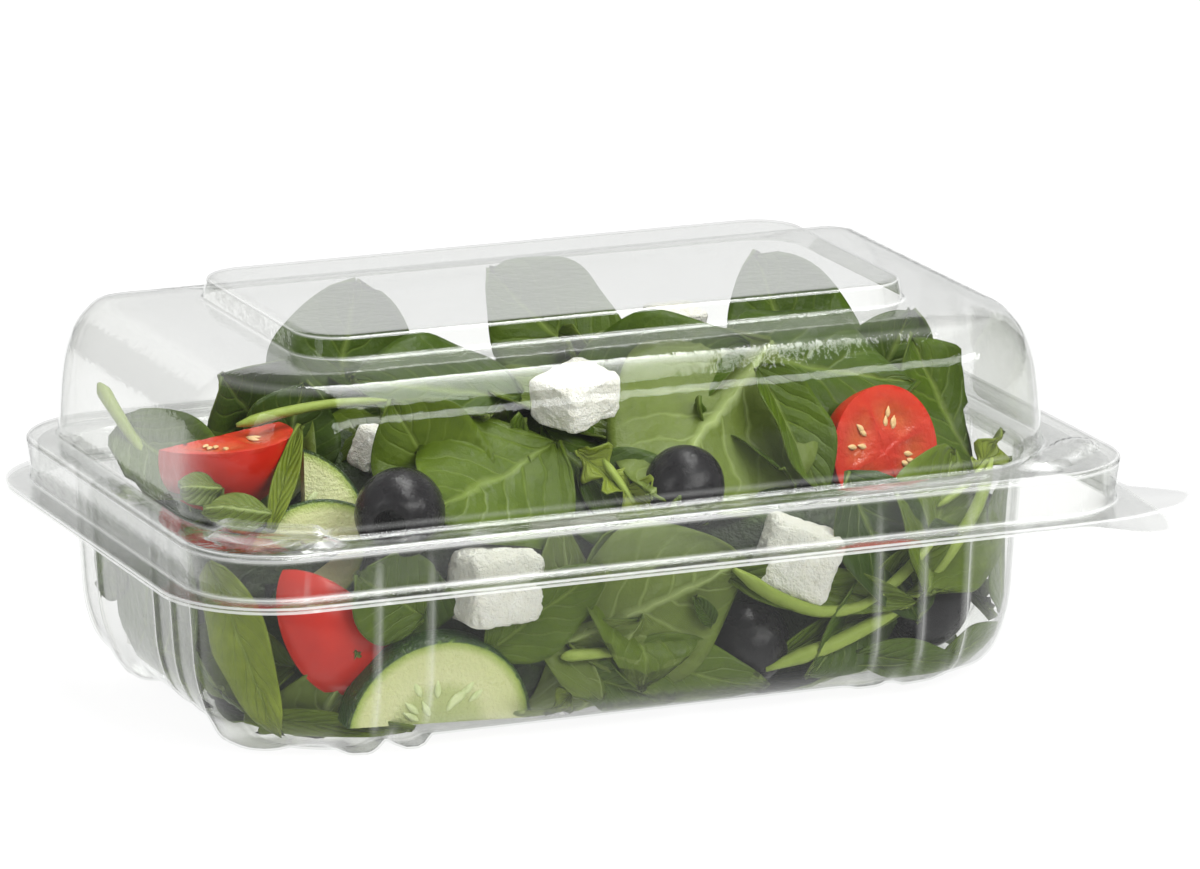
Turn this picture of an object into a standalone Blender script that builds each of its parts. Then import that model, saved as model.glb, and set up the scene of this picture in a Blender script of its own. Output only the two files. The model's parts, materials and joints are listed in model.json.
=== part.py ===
"""Hinged clear takeaway container with a leafy salad in it.

A thermoformed tray on four feet, a domed lid that turns on a living hinge along the back
edge of the two flanges, and the salad: one leafy heap with the large toppings set into it.
Lengths below are in millimetres; x runs along the container, y to the back, z up.
"""
import math
import random

import bpy
import bmesh
from mathutils import Matrix, Vector

MM = 0.001                      # metres in a millimetre

# Both mouldings
SHEET = 0.6                     # thickness of the clear sheet
RIM_HALF = (105.0, 66.0)        # half length and half width over the lid's rim
RIM_RADIUS = 21.0
RIM_TOP = 50.0                  # upper face of the lid's shelf
FLANGE_REACH = 3.5              # how far the flanges stand out past the rim
LID_FLANGE_TOP = 40.4
TRAY_FLANGE_TOP = 39.5
HINGE = Vector((0.0, RIM_HALF[1] + FLANGE_REACH + 0.3, 39.65))

# Dome of the lid
DOME_HALF = (95.7, 57.0)
DOME_RADII = (30.0, 14.0)       # front corners, back corners
DOME_SHIFT = (-2.0, 0.8)
SHELF_TOP = 81.1
PANEL_HALF = (67.4, 34.4)
PANEL_SHIFT = (-3.5, 1.5)
PANEL_TOP = 85.9

# Body of the tray, measured on its inner face
BODY_HALF = (93.0, 53.4)
BODY_RADII = (31.0, 13.0)
FLOOR_TOP = 2.1
FOOT_DROP = 1.5                 # the four corners of the floor are pressed down as feet
FOOT_FROM = (60.5, 24.0)        # a foot is where x and y are both further out than this
SMALLEST_RADIUS = 8.0

# Stiffening ribs: where they stand, as a share of the side they are on
LONG_RIBS = (0.54, 0.66)
SHORT_RIBS_FRONT = (-0.27, -0.08)
SHORT_RIBS_BACK = (0.58,)
RIB_HALF_WIDTH = 0.9
RIB_DEPTH = 0.8

# Salad
HEAP_GAP = 0.5                  # between the heap and the tray's floor
HEAP_INSET = 2.8                # mean gap between the heap and the tray's walls
HEAP_WAVE = 1.3                 # how far each ripple of its side moves in and out
TOPPING_GAP = 0.35              # between the heap and each topping
HEAP_SQUARENESS = 0.56          # 1 would be an oval, 0 a rectangle
HEAP_EDGE = 42.0                # height of the heap at the walls
HEAP_CROWN = 33.0               # how much higher its crown stands, a little behind the middle
CROWN_Y = 12.0
CROWN_REACH_X = 88.0
CROWN_REACH_FRONT = 62.0
CROWN_REACH_BACK = 46.0

# The origin is under the middle of the outline, tabs and hinge edge included
TAB_TIP_X = 117.0
TAB_TIP_Y = -72.5
FRAME_SHIFT = Vector(((RIM_HALF[0] + FLANGE_REACH - TAB_TIP_X) / 2,
                      -(TAB_TIP_Y + RIM_HALF[1] + FLANGE_REACH) / 2, 0.0)) * MM


def clear_scene():
    for obj in list(bpy.data.objects):
        bpy.data.objects.remove(obj)


def make_material(name, colour, roughness):
    material = bpy.data.materials.new(name)
    material.use_nodes = True
    shader = material.node_tree.nodes["Principled BSDF"]
    shader.inputs["Base Color"].default_value = (*colour, 1.0)
    shader.inputs["Roughness"].default_value = roughness
    shader.inputs["Metallic"].default_value = 0.0
    return material


def add_object(name, mesh, material, parent, place=Vector((0, 0, 0))):
    """Link a mesh, modelled in millimetres, as an object that sits at a place in its parent."""
    mesh.transform(Matrix.Scale(MM, 4))
    obj = bpy.data.objects.new(name, mesh)
    bpy.context.scene.collection.objects.link(obj)
    obj.data.materials.append(material)
    obj.parent = parent
    obj.location = Vector(place) * MM
    return obj


def mesh_from(bm, name, sharp_angle=None, open_sheet=False):
    """A mesh from a closed bmesh, or from an open sheet whose faces already point one way."""
    if not open_sheet:
        bmesh.ops.recalc_face_normals(bm, faces=bm.faces)
    mesh = bpy.data.meshes.new(name)
    bm.to_mesh(mesh)
    bm.free()
    if sharp_angle is not None:
        mesh.shade_smooth()
        mesh.set_sharp_from_angle(angle=math.radians(sharp_angle))
    return mesh


# Outlines: every ring of a moulding has the same stations, so that rings can be bridged

def side_stations(ribs):
    """Fractions along one side, with three stations across each rib."""
    stations = []
    for fraction in sorted(ribs):
        stations += [(fraction, -1), (fraction, 0), (fraction, 1)]
    return stations


def ring(half, radii, height, grow=0.0, shift=(0.0, 0.0), rib_depth=0.0, ribbed=False, arc=5):
    """A closed outline, counter-clockwise from the front left corner's front end."""
    hx, hy = half[0] + grow, half[1] + grow
    front, back = (max(radius + grow, SMALLEST_RADIUS) for radius in radii)
    long_ribs = side_stations([s * f for f in LONG_RIBS for s in (-1, 1)]) if ribbed else []
    short_ribs = side_stations(SHORT_RIBS_FRONT + SHORT_RIBS_BACK) if ribbed else []
    points = []

    def add_side(start_corner, end_corner, stations, along, outward, length):
        for fraction, step in stations:
            position = fraction * length + step * RIB_HALF_WIDTH
            out = rib_depth if step == 0 else 0.0
            points.append(start_corner + along * position + outward * out)

    def add_corner(centre, radius, first_angle):
        for i in range(arc):
            angle = math.radians(first_angle + 90.0 * i / (arc - 1))
            points.append(centre + Vector((math.cos(angle), math.sin(angle))) * radius)

    x_axis, y_axis = Vector((1, 0)), Vector((0, 1))
    add_side(-y_axis * hy, None, long_ribs, x_axis, -y_axis, hx)
    add_corner(Vector((hx - front, front - hy)), front, -90)
    add_side(x_axis * hx, None, short_ribs, y_axis, x_axis, hy)
    add_corner(Vector((hx - back, hy - back)), back, 0)
    add_side(y_axis * hy, None, long_ribs, -x_axis, y_axis, hx)
    add_corner(Vector((back - hx, hy - back)), back, 90)
    mirrored = [(-fraction, -step) for fraction, step in reversed(short_ribs)]
    add_side(-x_axis * hx, None, mirrored, -y_axis, -x_axis, hy)
    add_corner(Vector((front - hx, front - hy)), front, 180)
    return [Vector((p.x + shift[0], p.y + shift[1], height)) for p in points]


def skin(rings, close_last=True):
    """A sheet bridged through the rings, its last ring filled."""
    bm = bmesh.new()
    loops = [[bm.verts.new(point) for point in points] for points in rings]
    for lower, upper in zip(loops, loops[1:]):
        count = len(lower)
        for i in range(count):
            j = (i + 1) % count
            bm.faces.new((lower[i], lower[j], upper[j], upper[i]))
    if close_last:
        bm.faces.new(loops[-1])
    return bm


def with_feet(points):
    """Press the corners of a floor ring down."""
    for point in points:
        x, y = point.x - DOME_SHIFT[0], point.y - DOME_SHIFT[1]
        if abs(x) > FOOT_FROM[0] and abs(y) > FOOT_FROM[1]:
            point.z -= FOOT_DROP
    return points


def pull_tab(points, first, tips):
    """Draw a corner of the flange's outline out to a tab."""
    for offset, tip in enumerate(tips):
        points[first + offset] = Vector(tip)
    return points


def corner_start(ribbed):
    """Index of the front right corner's first station in a ring."""
    return 3 * 2 * len(LONG_RIBS) if ribbed else 0


def thicken(obj):
    """Give a sheet its thickness on the side away from its faces."""
    wall = obj.modifiers.new("sheet thickness", "SOLIDIFY")
    wall.thickness = SHEET * MM
    wall.offset = -1.0
    wall.use_even_offset = True
    wall.use_rim = True


def lid_sheet():
    rim = dict(half=RIM_HALF, radii=(RIM_RADIUS, RIM_RADIUS))
    dome = dict(half=DOME_HALF, radii=DOME_RADII, shift=DOME_SHIFT)
    flange = ring(height=LID_FLANGE_TOP, grow=FLANGE_REACH, **rim)
    top = LID_FLANGE_TOP
    pull_tab(flange, corner_start(False) + 1,
             [(99.0, -68.6, top), (113.5, -65.0, top + 0.7), (TAB_TIP_X, -60.5, top + 1.5)])
    rings = [flange,
             ring(height=LID_FLANGE_TOP, grow=-2.0, **rim),
             ring(height=RIM_TOP - 1.0, grow=-0.6, **rim),
             ring(height=RIM_TOP, grow=-1.7, **rim),
             ring(height=RIM_TOP, grow=1.0, **dome),
             ring(height=RIM_TOP + 1.0, grow=0.0, **dome)]
    for inset, height in ((0.7, 62.0), (1.6, 68.0), (4.0, 74.0), (8.5, 78.9), (14.0, 80.5)):
        rings.append(ring(height=height, grow=-inset, **dome))
    rings += [ring(PANEL_HALF, (12.0, 12.0), SHELF_TOP, 0.8, PANEL_SHIFT),
              ring(PANEL_HALF, (9.0, 9.0), PANEL_TOP - 0.6, 0.0, PANEL_SHIFT),
              ring(PANEL_HALF, (9.0, 9.0), PANEL_TOP, -1.0, PANEL_SHIFT)]
    bm = skin(rings)
    bmesh.ops.translate(bm, verts=bm.verts, vec=-HINGE)
    return mesh_from(bm, "lid", 35, open_sheet=True)


def tray_sheet():
    rim = dict(half=RIM_HALF, radii=(RIM_RADIUS, RIM_RADIUS), ribbed=True)
    body = dict(half=BODY_HALF, radii=BODY_RADII, shift=DOME_SHIFT, ribbed=True)
    flange = ring(height=TRAY_FLANGE_TOP, grow=FLANGE_REACH - 0.3, **rim)
    top = TRAY_FLANGE_TOP
    pull_tab(flange, corner_start(True),
             [(87.0, -69.2, top), (100.5, TAB_TIP_Y, top - 2.2), (107.5, TAB_TIP_Y + 1.5, top - 2.8),
              (109.0, TAB_TIP_Y + 9.0, top - 1.8)])
    rings = [flange,
             ring(height=TRAY_FLANGE_TOP, grow=-3.2, **rim),
             ring(height=RIM_TOP - 1.9, grow=-3.0, **rim),
             ring(height=RIM_TOP - 1.05, grow=-4.1, **rim),
             ring(height=RIM_TOP - 1.05, grow=1.0, **body),
             ring(height=RIM_TOP - 2.0, grow=0.0, **body)]
    for inset, height, depth in ((0.8, 36.0, 1.0), (2.2, 15.0, 1.0), (4.4, 8.0, 0.9),
                                 (8.6, 3.7, 0.5), (14.0, 2.1, 0.0)):
        rings.append(ring(height=height, grow=-inset, rib_depth=RIB_DEPTH * depth, **body))
    rings += [with_feet(ring(height=FLOOR_TOP, grow=-15.3, **body)),
              with_feet(ring(height=FLOOR_TOP, grow=-21.0, **body)),
              ring(height=FLOOR_TOP, grow=-22.5, **body)]
    return mesh_from(skin(rings), "tray", 35, open_sheet=True)


def swollen_hull(mesh, gap):
    """The hull of a topping with a gap all round it, which also spans an olive's hole."""
    bm = bmesh.new()
    bm.from_mesh(mesh)
    bm.normal_update()
    moves = [(vert, vert.normal * gap * vert.calc_shell_factor()) for vert in bm.verts]
    for vert, move in moves:
        vert.co += move
    hull = bmesh.ops.convex_hull(bm, input=bm.verts)
    inner = [item for item in hull["geom_interior"] + hull["geom_unused"]
             if isinstance(item, bmesh.types.BMVert)]
    bmesh.ops.delete(bm, geom=inner, context="VERTS")
    bmesh.ops.delete(bm, geom=[face for face in bm.faces if face not in set(hull["geom"])],
                     context="FACES_ONLY")
    return mesh_from(bm, "room")


def cut_away(obj, cutter):
    step = obj.modifiers.new(cutter.name, "BOOLEAN")
    step.operation = "DIFFERENCE"
    step.object = cutter
    step.solver = "EXACT"
    cutter.hide_render = True
    cutter.display_type = "WIRE"


def heap_height(x, y):
    """Uneven top of the leaves over a place in the tray."""
    reach = CROWN_REACH_BACK if y > CROWN_Y else CROWN_REACH_FRONT
    crown = max(0.0, 1.0 - (x / CROWN_REACH_X) ** 2) * max(0.0, 1.0 - ((y - CROWN_Y) / reach) ** 2)
    ripple = 2.6 * math.sin(x * 0.115 + 1.3) * math.cos(y * 0.14 - 0.6)
    ripple += 1.7 * math.sin(x * 0.21 - y * 0.17 + 0.5)
    return HEAP_EDGE + HEAP_CROWN * crown + ripple * (0.35 + 0.65 * crown)


def heap_solid():
    """The bed of leaves: the tray's inside, a wavy side and an uneven crown."""
    dice = random.Random(11)
    sides = 40
    phases = [dice.uniform(0, math.tau) for _ in range(3)]

    def outline(inset, height, scale):
        power = HEAP_SQUARENESS
        hx, hy = BODY_HALF[0] - inset - HEAP_INSET, BODY_HALF[1] - inset - HEAP_INSET
        points = []
        for i in range(sides):
            angle = math.tau * i / sides
            cx, cy = math.cos(angle), math.sin(angle)
            wave = HEAP_WAVE * (math.sin(5 * angle + phases[0]) + math.sin(9 * angle + phases[1]))
            x = (hx + wave) * math.copysign(abs(cx) ** power, cx) * scale
            y = (hy + wave) * math.copysign(abs(cy) ** power, cy) * scale
            points.append((x, y))
        shift = DOME_SHIFT
        return [Vector((x + shift[0], y + shift[1], height if height is not None
                        else heap_height(x, y))) for x, y in points]

    rings = [outline(15.5, FLOOR_TOP + HEAP_GAP, 1.0), outline(9.5, 4.8, 1.0), outline(5.4, 9.0, 1.0),
             outline(2.6, 18.0, 1.0), outline(1.6, 34.0, 1.0)]
    rings += [outline(1.6, None, scale) for scale in (0.985, 0.86, 0.7, 0.52, 0.34, 0.17)]
    bm = skin(rings)
    bottom = [v for v in bm.verts if abs(v.co.z - FLOOR_TOP - HEAP_GAP) < 1e-4]
    bm.faces.new(bottom)
    return mesh_from(bm, "salad", 50)


# Toppings, each modelled about its own middle

def olive(length, width, sides=12):
    """A pitted olive: a turned oval with a hole down its axis, open at one end."""
    hole, depth = width * 0.17, length * 0.36
    profile = [(0.0, -depth * 0.2), (hole, -depth * 0.2), (hole, length * 0.46)]
    for i in range(1, 8):
        angle = math.pi * i / 8
        profile.append((width / 2 * math.sin(angle) ** 0.85, length / 2 * math.cos(angle) * 1.02))
    profile.append((0.0, -length / 2))
    bm = bmesh.new()
    columns = []
    for radius, height in profile:
        if radius < 1e-6:
            columns.append([bm.verts.new((0, 0, height))])
        else:
            columns.append([bm.verts.new((radius * math.cos(math.tau * i / sides),
                                          radius * math.sin(math.tau * i / sides), height))
                            for i in range(sides)])
    for lower, upper in zip(columns, columns[1:]):
        for i in range(sides):
            j = (i + 1) % sides
            if len(lower) == 1:
                bm.faces.new((lower[0], upper[i], upper[j]))
            elif len(upper) == 1:
                bm.faces.new((lower[i], lower[j], upper[0]))
            else:
                bm.faces.new((lower[i], lower[j], upper[j], upper[i]))
    return mesh_from(bm, "olive", 60)


def feta_cube(size, seed):
    """A broken cube of cheese, its corners knocked out of true."""
    dice = random.Random(seed)
    bm = bmesh.new()
    bmesh.ops.create_cube(bm, size=1.0)
    bmesh.ops.scale(bm, verts=bm.verts, vec=size)
    bmesh.ops.subdivide_edges(bm, edges=bm.edges, cuts=1, use_grid_fill=True)
    for vert in bm.verts:
        vert.co += Vector([dice.uniform(-0.06, 0.06) * min(size) for _ in range(3)])
    bmesh.ops.triangulate(bm, faces=bm.faces)
    return mesh_from(bm, "feta", 20)


def tomato_piece(radii, sweep, sides=12, rows=6):
    """Part of a tomato, cut by planes through its stalk axis."""
    bm = bmesh.new()
    top, bottom = bm.verts.new((0, 0, radii[2])), bm.verts.new((0, 0, -radii[2]))
    columns = []
    for i in range(sides + 1):
        turn = math.radians(sweep) * (i / sides - 0.5)
        columns.append([bm.verts.new((radii[0] * math.cos(turn) * math.sin(math.pi * r / rows),
                                      radii[1] * math.sin(turn) * math.sin(math.pi * r / rows),
                                      radii[2] * math.cos(math.pi * r / rows)))
                        for r in range(1, rows)])
    for left, right in zip(columns, columns[1:]):
        bm.faces.new((top, left[0], right[0]))
        for r in range(rows - 2):
            bm.faces.new((left[r], left[r + 1], right[r + 1], right[r]))
        bm.faces.new((left[-1], bottom, right[-1]))
    if sweep < 180:
        axis = [bm.verts.new((0, 0, radii[2] * math.cos(math.pi * r / rows))) for r in range(1, rows)]
        cuts = [(columns[0], axis), (axis, columns[-1])]
    else:
        cuts = [(columns[0], columns[-1])]
    for left, right in cuts:
        bm.faces.new((top, right[0], left[0]))
        for r in range(rows - 2):
            bm.faces.new((left[r], right[r], right[r + 1], left[r + 1]))
        bm.faces.new((left[-1], right[-1], bottom))
    return mesh_from(bm, "tomato", 40)


def cucumber_slice(radius, thickness, sweep, sides=18):
    """The part of a cucumber slice left by a straight cut, its rim eased; it bulges along x."""
    ease = 0.8
    rings = []
    for grow, height in ((-ease, -thickness / 2), (0, ease - thickness / 2),
                         (0, thickness / 2 - ease), (-ease, thickness / 2)):
        points = []
        for i in range(sides + 1):
            angle = math.radians(sweep) * (i / sides - 0.5)
            points.append(Vector(((radius + grow) * math.cos(angle), (radius + grow) * math.sin(angle),
                                  height)))
        rings.append(points)
    bm = skin(rings)
    bm.verts.ensure_lookup_table()
    bm.faces.new([bm.verts[i] for i in range(sides + 1)])
    return mesh_from(bm, "cucumber", 35)


def turned(axis, facing):
    """Turn that lays a topping's own z along an axis and its own x as near as can be to facing."""
    z_dir = Vector(axis).normalized()
    y_dir = z_dir.cross(Vector(facing)).normalized()
    x_dir = y_dir.cross(z_dir)
    return Matrix((x_dir, y_dir, z_dir)).transposed().to_euler()


def topping_list():
    """Name, mesh, place in the tray, own axis, facing and material of each large topping."""
    return [
        ("tomato_left", tomato_piece((16, 16, 15), 110), (-80, -3.5, 60), (1, 0.25, 0.05),
         (0.1, -0.6, -0.8), "tomato"),
        ("tomato_right", tomato_piece((13, 14, 14), 180), (63.5, -20, 46.5), (-0.35, 0.1, 1),
         (-0.25, 0.95, -0.2), "tomato"),
        ("tomato_low", tomato_piece((14, 14, 16), 85), (-70, -26, 25), (0.6, 0.05, -0.8),
         (-0.3, -1, 0.1), "tomato"),
        ("cucumber_back", cucumber_slice(18, 5, 150), (-71, -15.5, 41), (-0.2, -1, 0.35),
         (0.95, 0, -0.1), "cucumber"),
        ("cucumber_middle", cucumber_slice(18, 5, 120), (-66, -26.5, 32), (-0.25, -1, 0.3),
         (0, 0.3, 1), "cucumber"),
        ("cucumber_low", cucumber_slice(20.5, 6, 170), (-47.5, -40, 4), (0, -1, -0.15),
         (0.05, 0, 1), "cucumber"),
        ("olive_left", olive(20, 18.5), (-53.5, -37.5, 49), (-0.55, -0.8, -0.05), (0, 0, 1), "olive"),
        ("olive_middle", olive(18, 17), (11.5, -33, 46.5), (0.5, 0.5, 0.8), (1, 0, 0), "olive"),
        ("olive_right", olive(19.5, 18), (66, -36, 17.5), (0.6, 0.5, 0.7), (1, 0, 0), "olive"),
        ("olive_low", olive(18, 16.5), (24, -39, 14), (0.3, 0.8, 0.4), (1, 0, 0), "olive"),
        ("feta_top", feta_cube((15.5, 13, 10), 1), (-7, -19, 65), (-0.1, -0.2, 1), (1, 0.45, 0), "feta"),
        ("feta_front_left", feta_cube((17.5, 12, 15), 2), (-34, -41.5, 32.7), (0.05, 0, 1),
         (1, 0.2, 0), "feta"),
        ("feta_front_right", feta_cube((16, 12, 15), 3), (33.5, -41.5, 31.5), (0.35, -0.1, 1),
         (1, -0.3, 0), "feta"),
        ("feta_small", feta_cube((8, 7, 9), 4), (-47.5, -8, 55), (0.3, -0.2, 1), (1, 0.4, 0), "feta"),
        ("feta_back", feta_cube((12, 10, 7), 5), (28, 10, 71), (0.05, -0.1, 1), (1, 0.1, 0), "feta"),
        ("feta_corner", feta_cube((10, 8, 8), 6), (-82, 31, 10.5), (0.1, 0, 1), (1, 0.3, 0), "feta"),
    ]


def main():
    clear_scene()
    clear_sheet = make_material("clear sheet", (0.86, 0.9, 0.9), 0.08)
    looks = {
        "leaf": make_material("salad leaf", (0.10, 0.23, 0.03), 0.45),
        "tomato": make_material("tomato", (0.60, 0.05, 0.02), 0.25),
        "cucumber": make_material("cucumber", (0.55, 0.66, 0.28), 0.3),
        "olive": make_material("olive", (0.02, 0.018, 0.022), 0.25),
        "feta": make_material("feta", (0.86, 0.84, 0.75), 0.7),
    }

    container = bpy.data.objects.new("container_frame", None)
    bpy.context.scene.collection.objects.link(container)
    container.location = FRAME_SHIFT
    hinge = bpy.data.objects.new("lid_hinge", None)
    bpy.context.scene.collection.objects.link(hinge)
    hinge.parent = container
    hinge.location = HINGE * MM

    lid = add_object("lid", lid_sheet(), clear_sheet, hinge)
    thicken(lid)
    tray = add_object("tray", tray_sheet(), clear_sheet, container)
    thicken(tray)

    salad = add_object("salad", heap_solid(), looks["leaf"], container)
    for name, mesh, place, axis, facing, kind in topping_list():
        room = swollen_hull(mesh, TOPPING_GAP)
        piece = add_object(name, mesh, looks[kind], container, place)
        piece.rotation_euler = turned(axis, facing)
        cutter = add_object("room_for_" + name, room, looks[kind], container, place)
        cutter.rotation_euler = piece.rotation_euler
        cut_away(salad, cutter)


main()
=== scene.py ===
"""Looks for the hinged clear salad container: the two mouldings, the leaves and the toppings.

Lengths are in millimetres in the container's own frame, whose origin is under the middle of the
lid's rim; make_mesh turns them into metres in the shared frame.
"""
import json
import math
import random

import bpy
import bmesh
import numpy as np
from mathutils import Matrix, Vector, noise

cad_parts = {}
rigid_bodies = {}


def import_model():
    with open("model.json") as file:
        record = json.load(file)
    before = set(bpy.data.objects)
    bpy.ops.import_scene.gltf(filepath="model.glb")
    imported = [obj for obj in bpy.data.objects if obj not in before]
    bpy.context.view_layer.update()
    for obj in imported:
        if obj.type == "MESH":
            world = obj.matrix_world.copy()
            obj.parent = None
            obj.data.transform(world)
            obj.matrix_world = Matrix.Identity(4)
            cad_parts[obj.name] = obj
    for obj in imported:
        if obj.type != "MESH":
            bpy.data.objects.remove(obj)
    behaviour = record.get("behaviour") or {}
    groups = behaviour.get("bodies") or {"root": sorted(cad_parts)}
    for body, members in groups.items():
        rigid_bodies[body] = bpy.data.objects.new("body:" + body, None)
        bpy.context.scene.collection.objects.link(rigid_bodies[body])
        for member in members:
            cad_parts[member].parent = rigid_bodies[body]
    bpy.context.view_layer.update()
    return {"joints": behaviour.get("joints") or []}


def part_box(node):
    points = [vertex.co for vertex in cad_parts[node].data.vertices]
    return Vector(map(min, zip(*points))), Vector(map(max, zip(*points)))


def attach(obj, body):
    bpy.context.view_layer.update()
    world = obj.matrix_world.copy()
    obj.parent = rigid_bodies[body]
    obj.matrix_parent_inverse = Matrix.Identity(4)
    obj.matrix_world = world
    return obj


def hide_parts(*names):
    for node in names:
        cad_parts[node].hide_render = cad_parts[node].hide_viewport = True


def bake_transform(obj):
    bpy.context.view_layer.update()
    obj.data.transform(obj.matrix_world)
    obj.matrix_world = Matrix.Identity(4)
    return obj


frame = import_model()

MM = 0.001

# Mouldings, as in the CAD
LID_SHEET = 0.45
TRAY_SHEET = 0.5
RIM_HALF = (105.0, 66.0)
RIM_RADII = (21.0, 21.0)
RIM_TOP = 50.0
FLANGE_REACH = 3.5
LID_FLANGE_TOP = 40.4
TRAY_FLANGE_TOP = 39.5
HINGE_BEHIND_RIM = 3.8
DOME_HALF = (95.7, 57.0)
DOME_RADII = (30.0, 14.0)
DOME_SHIFT = (-2.0, 0.8)
PANEL_HALF = (67.4, 34.4)
PANEL_RADII = (10.0, 10.0)
PANEL_SHIFT = (-3.5, 1.5)
PANEL_TOP = 85.9
BODY_HALF = (93.0, 53.4)
BODY_RADII = (31.0, 13.0)
FLOOR_TOP = 2.1
FOOT_DROP = 1.5
FOOT_FROM = (60.5, 24.0)
FOOT_LOBES = ((63.0, 43.0, 4.6), (51.5, 42.5, 3.4), (81.5, 30.0, 7.0))   # x, y and reach
LOWEST = 0.6
LONG_SIDE_RIBS = (-62.5, -50.0, 49.5, 59.5, 70.5)
SHORT_SIDE_RIBS = (-25.7, -14.4, -4.0, 31.0, 41.0)
RIB_WIDTH = 0.85
RIB_DEPTH = 0.8
LOCKS = ((-86.5, -51.5, -42.0), (89.5, -50.5, 42.0))   # x, y and turn in degrees
LOCK_HALF = (13.0, 4.2)
LOCK_HEIGHT = 1.4
EASE_STEPS = 4
# share of painted reflection of the studio light on the flat top of the panel
PANEL_PAINTED_REFLECTION = 0.16

# Room for the leaves inside the mouldings: height, inset from the body below the rim
ROOM_SPLIT = 49.5
BODY_ROOM = ((2.1, 14.0), (3.7, 8.6), (8.0, 4.4), (15.0, 2.2), (36.0, 0.8), (ROOM_SPLIT, 0.0))
DOME_ROOM = ((ROOM_SPLIT, 1.2), (62.0, 2.0), (68.0, 2.9), (74.0, 5.3), (78.0, 9.0), (80.0, 16.0))
WALL_GAP = 0.8
UNDER_PANEL = PANEL_TOP - 1.6
UNDER_SHELF = 79.4
VEIN_PAIRS = 6.5
STALK_SIDES = 8
STALK_FLATNESS = 0.75
STALK_TONE = 0.6
PIP_ROWS = 5
PIP_SIDES = 7
HEAP_SQUARENESS = 0.5

lid_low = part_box("lid")[0] / MM
hinge_place = Vector(frame["joints"][0]["pos_m"]) / MM
ORIGIN = np.array([lid_low.x + RIM_HALF[0] + FLANGE_REACH,
                   hinge_place.y - RIM_HALF[1] - HINGE_BEHIND_RIM, 0.0])


# ---------------------------------------------------------------- nodes and materials

def add_node(tree, kind, inputs=None, **settings):
    """A node with its settings made and its inputs set or linked."""
    made = tree.nodes.new(kind)
    for key, value in settings.items():
        setattr(made, key, value)
    for key, value in (inputs or {}).items():
        if isinstance(value, bpy.types.NodeSocket):
            tree.links.new(value, made.inputs[key])
        else:
            made.inputs[key].default_value = value
    return made


def math_node(tree, operation, a, b=0.0, c=0.0, clamp=False):
    return add_node(tree, "ShaderNodeMath", {0: a, 1: b, 2: c},
                    operation=operation, use_clamp=clamp).outputs[0]


def mix_colour(tree, share, a, b):
    made = add_node(tree, "ShaderNodeMix", data_type="RGBA")
    for socket, value in ((0, share), (6, a), (7, b)):
        if isinstance(value, bpy.types.NodeSocket):
            tree.links.new(value, made.inputs[socket])
        else:
            made.inputs[socket].default_value = value
    return made.outputs[2]


def stepped(tree, value, stops):
    """A colour ramp from (position, colour) stops."""
    ramp = add_node(tree, "ShaderNodeValToRGB", {0: value})
    for _ in range(len(stops) - 2):
        ramp.color_ramp.elements.new(0.5)
    for element, (position, colour) in zip(ramp.color_ramp.elements, stops):
        element.position = position
        element.color = colour
    return ramp.outputs[0]


def rgb(red, green, blue):
    return (red, green, blue, 1.0)


def make_group(name, inputs, outputs):
    group = bpy.data.node_groups.new(name, "ShaderNodeTree")
    for socket, kind in inputs:
        group.interface.new_socket(name=socket, in_out="INPUT", socket_type="NodeSocket" + kind)
    for socket, kind in outputs:
        group.interface.new_socket(name=socket, in_out="OUTPUT", socket_type="NodeSocket" + kind)
    return group, group.nodes.new("NodeGroupInput"), group.nodes.new("NodeGroupOutput")


def mottle_group():
    """Uneven tone in two sizes, for anything that grew or was made by hand."""
    group, given, result = make_group(
        "mottle", [("Place", "Vector"), ("Size", "Float"), ("Contrast", "Float")],
        [("Tone", "Float"), ("Height", "Float")])
    broad = add_node(group, "ShaderNodeTexNoise", {"Vector": given.outputs["Place"],
                     "Scale": given.outputs["Size"], "Detail": 4.0, "Roughness": 0.6})
    fine_size = math_node(group, "MULTIPLY", given.outputs["Size"], 5.7)
    fine = add_node(group, "ShaderNodeTexNoise", {"Vector": given.outputs["Place"],
                    "Scale": fine_size, "Detail": 3.0, "Roughness": 0.65})
    blended = math_node(group, "MULTIPLY_ADD", fine.outputs[0], 0.4,
                        math_node(group, "MULTIPLY", broad.outputs[0], 0.6))
    centred = math_node(group, "SUBTRACT", blended, 0.5)
    tone = math_node(group, "MULTIPLY_ADD", centred, given.outputs["Contrast"], 0.5, clamp=True)
    group.links.new(tone, result.inputs["Tone"])
    group.links.new(fine.outputs[0], result.inputs["Height"])
    return group


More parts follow.
